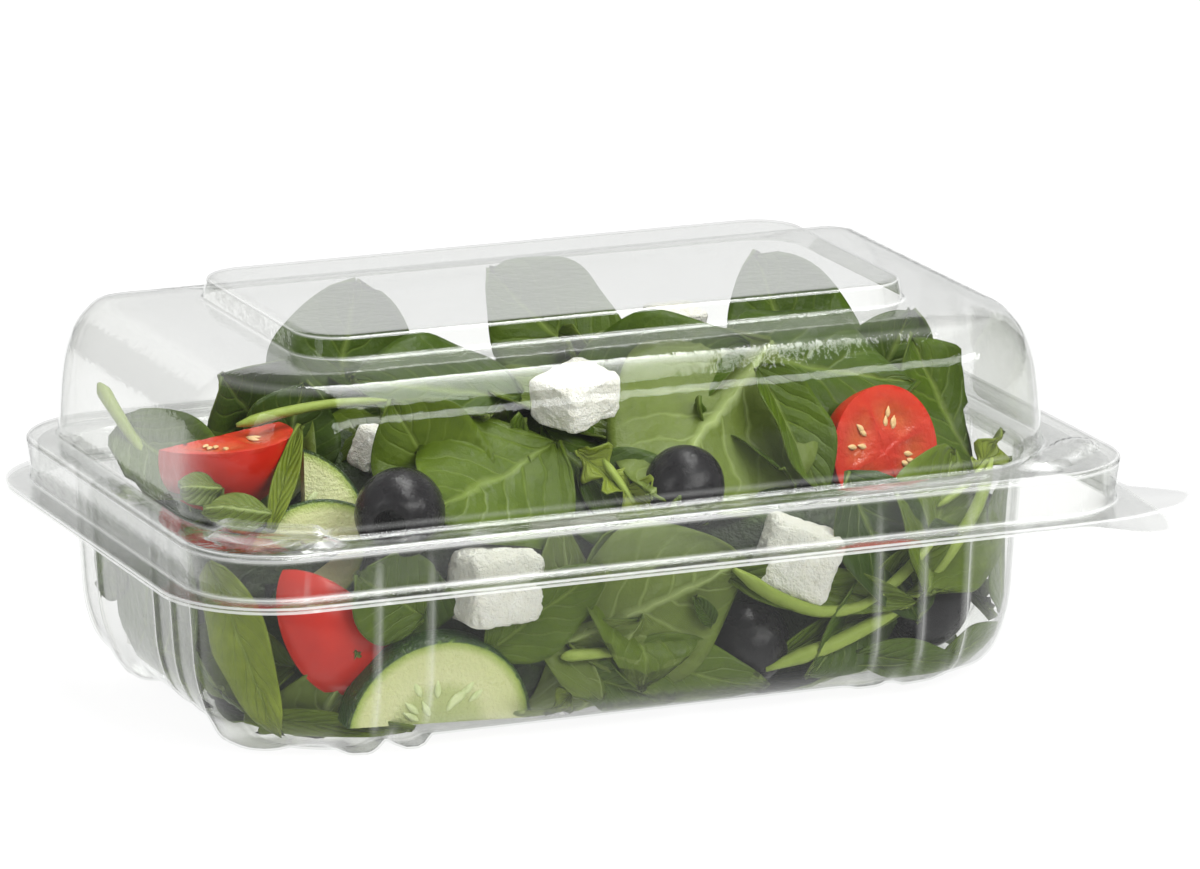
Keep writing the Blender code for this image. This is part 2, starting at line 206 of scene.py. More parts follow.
def vein_group():
    """Midrib and side veins over a leaf's own map: across it in x, along it in y."""
    group, given, result = make_group(
        "leaf veins", [("Place", "Vector"), ("Pairs", "Float"), ("Wander", "Vector")],
        [("Vein", "Float"), ("Quilt", "Float")])
    bent = add_node(group, "ShaderNodeVectorMath", {0: given.outputs["Place"],
                    1: given.outputs["Wander"]}, operation="ADD")
    axes = add_node(group, "ShaderNodeSeparateXYZ", {0: bent.outputs[0]})
    off_middle = math_node(group, "ABSOLUTE", math_node(group, "SUBTRACT", axes.outputs[0], 0.5))
    midrib = math_node(group, "SUBTRACT", 1.0, math_node(group, "MULTIPLY", off_middle, 26.0), clamp=True)
    slanted = math_node(group, "MULTIPLY_ADD", off_middle, -0.75, axes.outputs[1])
    phase = math_node(group, "FRACT", math_node(group, "MULTIPLY", slanted, given.outputs["Pairs"]))
    from_vein = math_node(group, "ABSOLUTE", math_node(group, "SUBTRACT", phase, 0.5))
    side = math_node(group, "SUBTRACT", 1.0, math_node(group, "MULTIPLY", from_vein, 9.0), clamp=True)
    fading = math_node(group, "SUBTRACT", 1.0, math_node(group, "MULTIPLY", off_middle, 1.9), clamp=True)
    side_veins = math_node(group, "MULTIPLY", side, math_node(group, "MULTIPLY", fading, 0.6))
    group.links.new(math_node(group, "MAXIMUM", midrib, side_veins), result.inputs["Vein"])
    group.links.new(from_vein, result.inputs["Quilt"])
    return group


MOTTLE = mottle_group()
VEINS = vein_group()


def new_material(name):
    material = bpy.data.materials.new(name)
    material.use_nodes = True
    tree = material.node_tree
    return material, tree, tree.nodes["Principled BSDF"], tree.nodes["Material Output"]


def mottled(tree, size, contrast):
    """The tone and height of the shared mottle on a piece's own coordinates."""
    place = add_node(tree, "ShaderNodeTexCoord").outputs["Object"]
    made = add_node(tree, "ShaderNodeGroup", node_tree=MOTTLE)
    tree.links.new(place, made.inputs["Place"])
    made.inputs["Size"].default_value = size
    made.inputs["Contrast"].default_value = contrast
    return made.outputs["Tone"], made.outputs["Height"]


def bumped(tree, height, distance):
    return add_node(tree, "ShaderNodeBump",
                    {"Strength": 1.0, "Distance": distance, "Height": height}).outputs[0]


def attribute(tree, name):
    return add_node(tree, "ShaderNodeAttribute", attribute_name=name).outputs["Fac"]


def clear_sheet_material(name, veil, veil_colour, seen_edge):
    """Thin clear sheet: it lets light through, mirrors at a slant, greys where seen edge-on as painted shade,
    and has a faint haze that carries painted highlights and painted reflection.
    """
    material, tree, shader, output = new_material(name)
    tone, _ = mottled(tree, 55.0, 1.5)
    normal = bumped(tree, tone, 0.00012)
    facing = add_node(tree, "ShaderNodeLayerWeight", {"Blend": 0.5, "Normal": normal}).outputs["Facing"]
    plain_facing = add_node(tree, "ShaderNodeLayerWeight", {"Blend": 0.5}).outputs["Facing"]
    front = math_node(tree, "SUBTRACT", 1.0, add_node(tree, "ShaderNodeNewGeometry").outputs["Backfacing"])
    mirrored = math_node(tree, "MULTIPLY_ADD", math_node(tree, "POWER", facing, 3.2), 1.2, 0.018, clamp=True)
    # painted shade: the see-through tint darkens where a wall is seen edge-on, giving the walls grey outlines
    tint = stepped(tree, plain_facing, [(0.0, rgb(0.955, 0.96, 0.95)), (0.55, rgb(0.90, 0.905, 0.89)),
                                        (0.85, rgb(*[seen_edge] * 3)), (1.0, rgb(*[seen_edge * 0.5] * 3))])
    see_through = add_node(tree, "ShaderNodeBsdfTransparent", {"Color": tint})
    # faint real haze, raised where the sheet is seen at a slant as painted reflection of the studio light, and
    # raised along the sheet's marked lines and panel top as painted highlight and painted reflection
    haze_and_highlight = math_node(tree, "MULTIPLY_ADD", math_node(tree, "POWER", plain_facing, 2.0), veil * 2.0, veil)
    haze_and_highlight = math_node(tree, "MULTIPLY", haze_and_highlight, math_node(tree, "ADD", tone, 0.5))
    haze_and_highlight = math_node(tree, "MULTIPLY_ADD", attribute(tree, "sheet_haze_and_highlight"), 0.55, haze_and_highlight, clamp=True)
    shader.inputs["Base Color"].default_value = rgb(*veil_colour)
    shader.inputs["Roughness"].default_value = 0.5
    shader.inputs["Specular IOR Level"].default_value = 0.0
    gloss = add_node(tree, "ShaderNodeBsdfAnisotropic",
                     {"Color": rgb(0.92, 0.93, 0.92), "Roughness": 0.07, "Normal": normal})
    body = add_node(tree, "ShaderNodeMixShader", {0: haze_and_highlight, 1: see_through.outputs[0], 2: shader.outputs[0]})
    sheet = add_node(tree, "ShaderNodeMixShader", {0: mirrored, 1: body.outputs[0], 2: gloss.outputs[0]})
    plain = add_node(tree, "ShaderNodeBsdfTransparent", {"Color": rgb(0.99, 0.99, 0.99)})
    both = add_node(tree, "ShaderNodeMixShader", {0: front, 1: plain.outputs[0], 2: sheet.outputs[0]})
    tree.links.new(both.outputs[0], output.inputs["Surface"])
    return material


def leaf_material():
    material, tree, shader, _ = new_material("salad leaf")
    tone, grain = mottled(tree, 90.0, 2.6)
    leaf_map = add_node(tree, "ShaderNodeUVMap", uv_map="leaf").outputs[0]
    wander = add_node(tree, "ShaderNodeTexNoise", {"Scale": 160.0, "Detail": 1.0,
                      "Vector": add_node(tree, "ShaderNodeTexCoord").outputs["Object"]}).outputs["Color"]
    wander = add_node(tree, "ShaderNodeVectorMath", {0: wander, 1: (0.5, 0.5, 0.5)}, operation="SUBTRACT")
    wander = add_node(tree, "ShaderNodeVectorMath", {0: wander.outputs[0], "Scale": 0.09},
                      operation="SCALE")
    veins = add_node(tree, "ShaderNodeGroup", node_tree=VEINS)
    tree.links.new(leaf_map, veins.inputs["Place"])
    tree.links.new(wander.outputs[0], veins.inputs["Wander"])
    veins.inputs["Pairs"].default_value = VEIN_PAIRS
    upper = stepped(tree, attribute(tree, "tone"),
                    [(0.0, rgb(0.020, 0.042, 0.001)), (0.45, rgb(0.060, 0.105, 0.003)),
                     (0.8, rgb(0.115, 0.165, 0.008)), (1.0, rgb(0.25, 0.31, 0.03))])
    upper = mix_colour(tree, tone, mix_colour(tree, 0.45, upper, rgb(0.010, 0.030, 0.003)), upper)
    upper = mix_colour(tree, math_node(tree, "MULTIPLY", veins.outputs["Vein"], 0.5), upper,
                       rgb(0.24, 0.32, 0.07))
    lower = mix_colour(tree, math_node(tree, "MULTIPLY", veins.outputs["Vein"], 0.7),
                       mix_colour(tree, tone, rgb(0.088, 0.125, 0.016), rgb(0.125, 0.17, 0.03)),
                       rgb(0.34, 0.42, 0.15))
    side = attribute(tree, "under")
    colour = mix_colour(tree, side, upper, lower)
    stalk = attribute(tree, "stalk")
    colour = mix_colour(tree, stalk, colour,
                        mix_colour(tree, tone, rgb(0.20, 0.27, 0.04), rgb(0.30, 0.38, 0.08)))
    tree.links.new(colour, shader.inputs["Base Color"])
    tree.links.new(math_node(tree, "MULTIPLY_ADD", tone, 0.22, 0.30), shader.inputs["Roughness"])
    relief = math_node(tree, "MULTIPLY_ADD", veins.outputs["Quilt"], 0.5,
                       math_node(tree, "MULTIPLY_ADD", veins.outputs["Vein"], -0.5,
                                 math_node(tree, "MULTIPLY", grain, 0.35)))
    tree.links.new(bumped(tree, relief, 0.0007), shader.inputs["Normal"])
    shader.inputs["Specular IOR Level"].default_value = 0.18
    return material


def core_material():
    """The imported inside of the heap, all in shade."""
    material, tree, shader, _ = new_material("packed leaves")
    tone, height = mottled(tree, 60.0, 3.0)
    tree.links.new(stepped(tree, tone, [(0.0, rgb(0.008, 0.018, 0.001)), (0.6, rgb(0.022, 0.045, 0.002)),
                                        (1.0, rgb(0.05, 0.095, 0.006))]), shader.inputs["Base Color"])
    tree.links.new(math_node(tree, "MULTIPLY_ADD", tone, 0.3, 0.4), shader.inputs["Roughness"])
    tree.links.new(bumped(tree, height, 0.0015), shader.inputs["Normal"])
    return material


def tomato_material():
    material, tree, shader, _ = new_material("tomato")
    tone, height = mottled(tree, 110.0, 1.8)
    skin = mix_colour(tree, tone, rgb(0.42, 0.010, 0.004), rgb(0.62, 0.022, 0.006))
    flesh = mix_colour(tree, tone, rgb(0.50, 0.018, 0.008), rgb(0.66, 0.055, 0.022))
    gel = mix_colour(tree, tone, rgb(0.42, 0.025, 0.008), rgb(0.72, 0.17, 0.05))
    inside = mix_colour(tree, attribute(tree, "gel"), flesh, gel)
    tree.links.new(mix_colour(tree, attribute(tree, "cut"), skin, inside), shader.inputs["Base Color"])
    tree.links.new(math_node(tree, "MULTIPLY_ADD", attribute(tree, "gel"), -0.12, 0.27),
                   shader.inputs["Roughness"])
    wet = math_node(tree, "MULTIPLY", height, attribute(tree, "cut"))
    tree.links.new(bumped(tree, wet, 0.0003), shader.inputs["Normal"])
    shader.inputs["Specular IOR Level"].default_value = 0.32
    shader.inputs["Subsurface Weight"].default_value = 0.12
    shader.inputs["Subsurface Radius"].default_value = (0.003, 0.0008, 0.0005)
    return material


def cucumber_material():
    material, tree, shader, _ = new_material("cucumber")
    tone, height = mottled(tree, 210.0, 2.0)
    shifted = math_node(tree, "MULTIPLY_ADD", tone, 0.05, math_node(tree, "SUBTRACT",
                        attribute(tree, "radial"), 0.025))
    colour = stepped(tree, shifted, [
        (0.0, rgb(0.36, 0.42, 0.16)), (0.42, rgb(0.44, 0.49, 0.20)), (0.56, rgb(0.62, 0.64, 0.34)),
        (0.84, rgb(0.58, 0.61, 0.29)), (0.925, rgb(0.33, 0.42, 0.08)), (0.962, rgb(0.09, 0.17, 0.015)),
        (1.0, rgb(0.018, 0.050, 0.006))])
    tree.links.new(colour, shader.inputs["Base Color"])
    tree.links.new(math_node(tree, "MULTIPLY_ADD", tone, 0.2, 0.2), shader.inputs["Roughness"])
    tree.links.new(bumped(tree, height, 0.0005), shader.inputs["Normal"])
    shader.inputs["Subsurface Weight"].default_value = 0.15
    shader.inputs["Subsurface Radius"].default_value = (0.002, 0.003, 0.001)
    return material


def seed_material(name, dark, light, roughness):
    material, tree, shader, _ = new_material(name)
    tone, height = mottled(tree, 600.0, 2.5)
    tree.links.new(mix_colour(tree, tone, dark, light), shader.inputs["Base Color"])
    tree.links.new(math_node(tree, "MULTIPLY_ADD", tone, 0.15, roughness), shader.inputs["Roughness"])
    tree.links.new(bumped(tree, height, 0.0002), shader.inputs["Normal"])
    return material


def olive_material():
    material, tree, shader, _ = new_material("olive")
    tone, _ = mottled(tree, 120.0, 2.2)
    outer = mix_colour(tree, tone, rgb(0.006, 0.005, 0.006), rgb(0.013, 0.012, 0.014))
    tree.links.new(mix_colour(tree, attribute(tree, "pit"), outer, rgb(0.006, 0.005, 0.005)),
                   shader.inputs["Base Color"])
    tree.links.new(math_node(tree, "MULTIPLY_ADD", tone, 0.16, 0.2), shader.inputs["Roughness"])
    tree.links.new(bumped(tree, tone, 0.00018), shader.inputs["Normal"])
    shader.inputs["Specular IOR Level"].default_value = 0.22
    return material


def cheese_material():
    material, tree, shader, _ = new_material("cheese")
    tone, height = mottled(tree, 260.0, 2.2)
    tree.links.new(mix_colour(tree, tone, rgb(0.92, 0.90, 0.77), rgb(0.985, 0.98, 0.93)),
                   shader.inputs["Base Color"])
    tree.links.new(math_node(tree, "MULTIPLY_ADD", tone, 0.2, 0.55), shader.inputs["Roughness"])
    tree.links.new(bumped(tree, height, 0.0012), shader.inputs["Normal"])
    shader.inputs["Subsurface Weight"].default_value = 0.1
    shader.inputs["Subsurface Radius"].default_value = (0.002, 0.0018, 0.0014)
    return material


def floor_material():
    material, _, shader, _ = new_material("studio floor")
    shader.inputs["Base Color"].default_value = rgb(0.13, 0.13, 0.13)
    shader.inputs["Emission Color"].default_value = rgb(1.0, 1.0, 1.0)
    shader.inputs["Emission Strength"].default_value = 0.92
    shader.inputs["Roughness"].default_value = 0.9
    shader.inputs["Specular IOR Level"].default_value = 0.0
    return material


# ---------------------------------------------------------------- pieces

def make_mesh(name, points, faces, looks, values=None, leaf_map=None, sharp=None):
    """A mesh at its place in the shared frame, with its values by point and its leaf map."""
    mesh = bpy.data.meshes.new(name)
    mesh.from_pydata([tuple(p) for p in (np.asarray(points) + ORIGIN) * MM], [], faces)
    mesh.materials.append(looks)
    for key, numbers in (values or {}).items():
        mesh.attributes.new(key, "FLOAT", "POINT").data.foreach_set(
            "value", np.asarray(numbers, np.float32))
    if leaf_map is not None:
        corners = np.zeros(len(mesh.loops), np.int32)
        mesh.loops.foreach_get("vertex_index", corners)
        mesh.uv_layers.new(name="leaf").data.foreach_set(
            "uv", np.asarray(leaf_map, np.float32)[corners].ravel())
    mesh.shade_smooth()
    if sharp is not None:
        mesh.set_sharp_from_angle(angle=math.radians(sharp))
    mesh.validate()
    return mesh


def add_object(name, mesh):
    made = bpy.data.objects.new(name, mesh)
    bpy.context.scene.collection.objects.link(made)
    return made


def finish_piece(made, body, nodes=()):
    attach(made, body)
    if nodes:
        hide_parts(*nodes)
    return made


def bridged(rows, close_start=False, close_end=False, loop=True):
    """Points and faces of rows of equal length; each row is a ring if loop is set."""
    count = len(rows[0])
    points = np.concatenate(rows)
    faces = []
    steps = count if loop else count - 1
    for r in range(len(rows) - 1):
        for i in range(steps):
            j = (i + 1) % count
            faces.append((r * count + i, r * count + j, (r + 1) * count + j, (r + 1) * count + i))
    if close_start:
        faces.append(tuple(range(count))[::-1])
    if close_end:
        first = (len(rows) - 1) * count
        faces.append(tuple(range(first, first + count)))
    return points, faces


def joined(parts):
    """One set of points, faces and values from several (points, faces, values, map) parts."""
    points, faces, maps, values, start = [], [], [], {}, 0
    for part_points, part_faces, part_values, part_map in parts:
        points.append(part_points)
        faces += [tuple(i + start for i in face) for face in part_faces]
        start += len(part_points)
        for key, numbers in part_values.items():
            values.setdefault(key, []).append(np.broadcast_to(numbers, len(part_points)))
        if part_map is not None:
            maps.append(part_map)
    return (np.concatenate(points), faces, {key: np.concatenate(v) for key, v in values.items()},
            np.concatenate(maps) if maps else None)


# ---------------------------------------------------------------- clear mouldings

def outline(half, radii, grow=0.0, shift=(0.0, 0.0), steps=(108, 54, 40)):
    """Stations round a rounded rectangle, and the way each faces, from the front left onwards."""
    hx, hy = half[0] + grow, half[1] + grow
    front, back = (max(radius + grow, 3.0) for radius in radii)
    long_steps, short_steps, corner_steps = steps
    points, facing = [], []

    def add_side(start, end, outward, count):
        for i in range(count):
            share = i / count
            points.append([start[0] + (end[0] - start[0]) * share, start[1] + (end[1] - start[1]) * share])
            facing.append(outward)

    def add_corner(centre, radius, first):
        for i in range(corner_steps):
            angle = math.radians(first + 90.0 * i / corner_steps)
            way = (math.cos(angle), math.sin(angle))
            points.append([centre[0] + radius * way[0], centre[1] + radius * way[1]])
            facing.append(way)

    add_side((front - hx, -hy), (hx - front, -hy), (0, -1), long_steps)
    add_corner((hx - front, front - hy), front, -90)
    add_side((hx, front - hy), (hx, hy - back), (1, 0), short_steps)
    add_corner((hx - back, hy - back), back, 0)
    add_side((hx - back, hy), (back - hx, hy), (0, 1), long_steps)
    add_corner((back - hx, hy - back), back, 90)
    add_side((-hx, hy - back), (-hx, front - hy), (-1, 0), short_steps)
    add_corner((front - hx, front - hy), front, 180)
    return np.array(points) + np.array(shift), np.array(facing, float)


def at_height(flat, height):
    return np.column_stack([flat, np.full(len(flat), float(height))])


def softened(rings):
    """Rings with the corner at each one eased over its own distance, and each one's share of haze and painted
    highlight.

    Each ring comes as its points, the distance that its corner is eased over, and its share of faint haze and
    painted highlight.
    """
    result, ring_haze_and_highlight = [rings[0][0]], [rings[0][2]]
    for (before, _, _), (here, ease, haze_and_highlight), (after, _, _) in zip(rings, rings[1:], rings[2:]):
        if not ease:
            result.append(here)
            ring_haze_and_highlight.append(haze_and_highlight)
            continue
        ends = []
        for other in (before, after):
            way = other - here
            length = np.maximum(np.linalg.norm(way, axis=1), 1e-6)
            ends.append(here + way * np.minimum(0.48, ease / length)[:, None])
        # the painted highlight line peaks in the middle of each eased corner
        for t in np.linspace(0, 1, EASE_STEPS + 1):
            result.append((1 - t) ** 2 * ends[0] + 2 * t * (1 - t) * here + t * t * ends[1])
            ring_haze_and_highlight.append(haze_and_highlight * math.sin(math.pi * t) ** 2)
    return result + [rings[-1][0]], ring_haze_and_highlight + [rings[-1][2]]


def drawn_tab(flange, first, count, corners):
    """Draw the stations of a corner out along a tab's own outline, its corners rounded."""
    path = []
    corners = [np.array(c, float) for c in corners]
    for before, here, after in zip(corners, corners[1:], corners[2:]):
        a, b = here + (before - here) * 0.3, here + (after - here) * 0.3
        path += [(1 - t) ** 2 * a + 2 * t * (1 - t) * here + t * t * b for t in np.linspace(0, 1, 7)]
    path = np.array([corners[0]] + path + [corners[-1]])
    lengths = np.concatenate([[0], np.cumsum(np.linalg.norm(np.diff(path, axis=0), axis=1))])
    wanted = np.linspace(0, lengths[-1], count + 1)
    for axis in range(3):
        flange[first:first + count + 1, axis] = np.interp(wanted, lengths, path[:, axis])
    return flange


def sheet_piece(name, rings, ring_haze_and_highlight, thickness, looks):
    """A moulding from its rings, closed over the last one and given its thickness."""
    points, faces = bridged(rings, close_end=True)
    # each ring's share of haze and painted highlight goes to the sheet's material as a point attribute
    made = add_object(name, make_mesh(name, points, faces, looks, {
        "sheet_haze_and_highlight": np.concatenate([np.broadcast_to(haze_and_highlight, len(rings[0])) for haze_and_highlight in ring_haze_and_highlight])}))
    wall = made.modifiers.new("thickness", "SOLIDIFY")
    wall.thickness = thickness * MM
    wall.offset = -1.0
    mesh = bpy.data.meshes.new_from_object(made.evaluated_get(bpy.context.evaluated_depsgraph_get()))
    made.modifiers.clear()
    made.data = mesh
    mesh.name = name
    mesh.shade_smooth()
    mesh.set_sharp_from_angle(angle=math.radians(50))
    return made


def with_locks(points, haze_and_highlight):
    """Raise the two snap locks on the shelf of the lid, and paint highlight lines round their edges."""
    haze_and_highlight = np.full(len(points), float(haze_and_highlight))
    for x, y, turn in LOCKS:
        angle = math.radians(turn)
        along = (points[:, 0] - x) * math.cos(angle) + (points[:, 1] - y) * math.sin(angle)
        beside = (points[:, 1] - y) * math.cos(angle) - (points[:, 0] - x) * math.sin(angle)
        edge = (np.abs(along) / LOCK_HALF[0]) ** 4 + (np.abs(beside) / LOCK_HALF[1]) ** 4
        near_top = np.clip((points[:, 2] - RIM_TOP + 1.5) / 1.0, 0, 1) * (points[:, 2] < RIM_TOP + 2.0)
        points[:, 2] += LOCK_HEIGHT * np.clip((1.25 - edge) / 0.6, 0, 1) * near_top
        # painted highlight line round the edge of each lock
        haze_and_highlight += 0.7 * np.exp(-((edge ** 0.25 - 1.0) / 0.14) ** 2) * near_top
    return points, haze_and_highlight


def flange_rings(flange, base):
    """The edge of a flange, with a painted highlight line at its very rim."""
    return [(flange + (base - flange) * share, 0, haze_and_highlight) for share, haze_and_highlight in ((0, 1.0), (0.08, 0.6), (0.14, 0))]


def lid_rings():
    steps = (100, 44, 32)

    def rim(grow, height):
        return at_height(outline(RIM_HALF, RIM_RADII, grow, steps=steps)[0], height)

    def dome(inset, height):
        return at_height(outline(DOME_HALF, DOME_RADII, -inset, DOME_SHIFT, steps)[0], height)

    def panel(grow, height):
        return at_height(outline(PANEL_HALF, PANEL_RADII, grow, PANEL_SHIFT, steps)[0], height)

    edge = FLANGE_REACH
    top = LID_FLANGE_TOP
    flange = drawn_tab(rim(edge, top), steps[0], steps[2],
                       [(84, -69.5, top), (99, -68.6, top), (112.8, -65.6, top + 0.7),
                        (117.3, -60.2, top + 1.5), (108.5, -45, top)])
    shelf_outer, shelf_inner = rim(-2.6, RIM_TOP), dome(-1.8, RIM_TOP)
    shelf = [(shelf_outer + (shelf_inner - shelf_outer) * share, 0, 0) for share in np.linspace(0, 1, 12)]
    base = rim(-2.0, top)
    rings = flange_rings(flange, base)
    # the last number of each ring is its share of haze and painted highlight: painted highlight lines along the
    # rim, the dome's foot and the panel's edges, and a faint painted highlight on the dome's front shoulder
    rings += [(base, 1.0, 0.8), (rim(-0.7, RIM_TOP - 0.9), 0.7, 0.7), (rim(-1.5, RIM_TOP), 0.7, 0.7)]
    rings += shelf
    rings += [(dome(-0.3, RIM_TOP), 0.9, 0.5), (dome(0.1, RIM_TOP + 1.8), 0.9, 0.2), (dome(0.7, 62), 3.0, 0),
              (dome(1.6, 68), 2.5, 0), (dome(3.8, 74.2), 2.5, 0), (dome(8.3, 79.1), 2.0, 0.15),
              (dome(14, 80.6), 3.0, 0), (panel(1.0, 81.1), 0.8, 0.6), (panel(0.0, PANEL_TOP - 0.3), 0.6, 0.8),
              (panel(-1.4, PANEL_TOP), 0.6, 0)]
    # the flat panel top carries painted reflection of the studio light
    rings += [(panel(-inset, PANEL_TOP), 0, PANEL_PAINTED_REFLECTION) for inset in (2.4, 6.0, 6.8)]
    return zip(*[with_locks(ring, haze_and_highlight) for ring, haze_and_highlight in zip(*softened(rings))])


def rib_weights():
    """How strongly each station of the body's outline belongs to a rib."""
    points, facing = outline(BODY_HALF, BODY_RADII)
    steps = np.linalg.norm(np.diff(points, axis=0, append=points[:1]), axis=1)
    along = np.concatenate([[0], np.cumsum(steps)[:-1]])
    weights = np.zeros(len(points))
    for axis, places in ((0, LONG_SIDE_RIBS), (1, SHORT_SIDE_RIBS)):
        for place in places:
            for side in (-1, 1):
                on_side = facing[:, 1 - axis] * side > 0.6
                gap = np.where(on_side, np.abs(points[:, axis] - place), np.inf)
                nearest = along[int(np.argmin(gap))]
                weights = np.maximum(weights, np.exp(-((along - nearest) / RIB_WIDTH) ** 2))
    return weights


def with_foot_lobes(ring):
    """Draw the foot of the wall down in rounded lobes beside each of the four feet."""
    x, y = np.abs(ring[:, 0] - DOME_SHIFT[0]), np.abs(ring[:, 1] - DOME_SHIFT[1])
    share = np.max([np.exp(-((x - at_x) / reach) ** 4 - ((y - at_y) / (reach + 2.5)) ** 4)
                    for at_x, at_y, reach in FOOT_LOBES], axis=0)
    fading = np.interp(ring[:, 2], (4.5, 10.0), (0.85, 0.0)) * np.where(ring[:, 0] < 0, 1.0, 0.35)
    ring[:, 2] -= share * fading * np.maximum(ring[:, 2] - LOWEST, 0.0)
    return ring


def tray_rings():
    weights = rib_weights()

    def rim(grow, height):
        return at_height(outline(RIM_HALF, RIM_RADII, grow)[0], height)

    def body(inset, height, rib=0.0, foot=0.0):
        flat, facing = outline(BODY_HALF, BODY_RADII, -inset)
        pushed = flat + facing * (weights * RIB_DEPTH * rib)[:, None]
        ring = at_height(pushed + np.array(DOME_SHIFT), height)
        if foot:
            share = np.ones(len(flat))
            for axis in (0, 1):
                share *= np.clip((np.abs(flat[:, axis]) - FOOT_FROM[axis] + 1.5) / 3.0, 0, 1)
            ring[:, 2] -= FOOT_DROP * foot * share * share * (3 - 2 * share)
        return ring

    top = TRAY_FLANGE_TOP
    flange = drawn_tab(rim(FLANGE_REACH - 0.3, top), 108, 40,
                       [(84, -69.2, top), (88, -69.4, top), (100.5, -72.5, top - 2.2),
                        (107.0, -71.2, top - 2.8), (109.2, -63.5, top - 1.8), (108.2, -45, top)])
    base = rim(-3.2, top)
    rings = flange_rings(flange, base)
    # the last number of each ring is its share of haze and painted highlight, as painted highlight lines along
    # the rim and the bends of the wall, floor and feet
    rings += [(base, 1.0, 0.7), (rim(-3.0, RIM_TOP - 1.9), 0.7, 0.6),
             (rim(-4.1, RIM_TOP - 1.1), 0.6, 0.6), (body(-1.0, RIM_TOP - 1.1), 0.7, 0.4),
             (body(0.0, RIM_TOP - 2.0), 0.8, 0.2), (body(0.8, 37, 1.0), 4.0, 0), (body(2.2, 15, 1.0), 4.0, 0),
             (body(4.4, 8, 0.9), 3.0, 0), (body(8.6, 3.7, 0.5), 2.5, 0), (body(13.6, 2.1, 0.1), 1.0, 0.2),
             (body(15.3, FLOOR_TOP, 0, 1.0), 0.8, 0.4), (body(21.0, FLOOR_TOP, 0, 1.0), 0.8, 0.4),
             (body(22.6, FLOOR_TOP), 0.7, 0), (body(25.0, FLOOR_TOP), 0, 0), (body(26.0, FLOOR_TOP), 0, 0)]
    rings, ring_haze_and_highlight = softened(rings)
    rings = [with_foot_lobes(ring) for ring in rings]
    # painted highlight lines along the ribs of the wall
    return rings, [haze_and_highlight + 0.36 * weights ** 8 * np.interp(ring[:, 2], (4, 9, 38, 47), (0, 1, 1, 0))
                   for ring, haze_and_highlight in zip(rings, ring_haze_and_highlight)]


def hinge_strip(looks):
    """The fold of thin sheet that joins the two flanges along the back."""
    path = [(69.0, 39.2), (69.7, 39.25), (70.15, 39.42), (70.3, 39.65), (70.15, 39.9), (69.7, 40.05),
            (69.0, 40.1)]
    inner = [(y - 0.22 * (1 if 0 < i < 6 else 0), z + (0.1 if z < 39.65 else -0.1))
             for i, (y, z) in enumerate(path)][::-1]
    section = path + inner
    rows = [np.array([(x, y, z) for y, z in section]) for x in np.linspace(-84.0, 84.0, 57)]
    points, faces = bridged(rows, close_start=True, close_end=True)
    made = add_object("living_hinge", make_mesh("living_hinge", points, [f[::-1] for f in faces], looks,
                                                sharp=60))
    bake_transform(made)


# ---------------------------------------------------------------- leaves

def room_at(height):
    """Half sizes, corner radii and shift of the space inside the mouldings at some heights."""
    below = np.asarray(height) < ROOM_SPLIT
    table = [np.interp(height, *zip(*room)) for room in (BODY_ROOM, DOME_ROOM)]
    inset = np.where(below, table[0], table[1]) + WALL_GAP
    hx = np.where(below, BODY_HALF[0], DOME_HALF[0]) - inset
    hy = np.where(below, BODY_HALF[1], DOME_HALF[1]) - inset
    front = np.maximum(BODY_RADII[0] - inset, 4.0)
    back = np.maximum(BODY_RADII[1] - inset, 4.0)
    return hx, hy, front, back


def kept_inside(points):
    """Press points that reach past the inside of the mouldings back to just inside it."""
    points = points.copy()
    points[:, 2] = np.clip(points[:, 2], FLOOR_TOP + 0.7, UNDER_PANEL)
    under_panel = ((np.abs(points[:, 0] - PANEL_SHIFT[0]) < PANEL_HALF[0] - 2.0) &
                   (np.abs(points[:, 1] - PANEL_SHIFT[1]) < PANEL_HALF[1] - 2.0))
    points[:, 2] = np.where(under_panel, points[:, 2], np.minimum(points[:, 2], UNDER_SHELF))
    hx, hy, front, back = room_at(points[:, 2])
    x, y = points[:, 0] - DOME_SHIFT[0], points[:, 1] - DOME_SHIFT[1]
    x, y = np.clip(x, -hx, hx), np.clip(y, -hy, hy)
    radius = np.where(y < 0, front, back)
    over_x, over_y = np.abs(x) - (hx - radius), np.abs(y) - (hy - radius)
    corner = (over_x > 0) & (over_y > 0) & ~under_panel
    distance = np.hypot(over_x, over_y)
    scale = np.where(corner & (distance > radius), radius / np.maximum(distance, 1e-6), 1.0)
    x = np.where(corner, np.sign(x) * (hx - radius + over_x * scale), x)
    y = np.where(corner, np.sign(y) * (hy - radius + over_y * scale), y)
    points[:, 0], points[:, 1] = x + DOME_SHIFT[0], y + DOME_SHIFT[1]
    return points


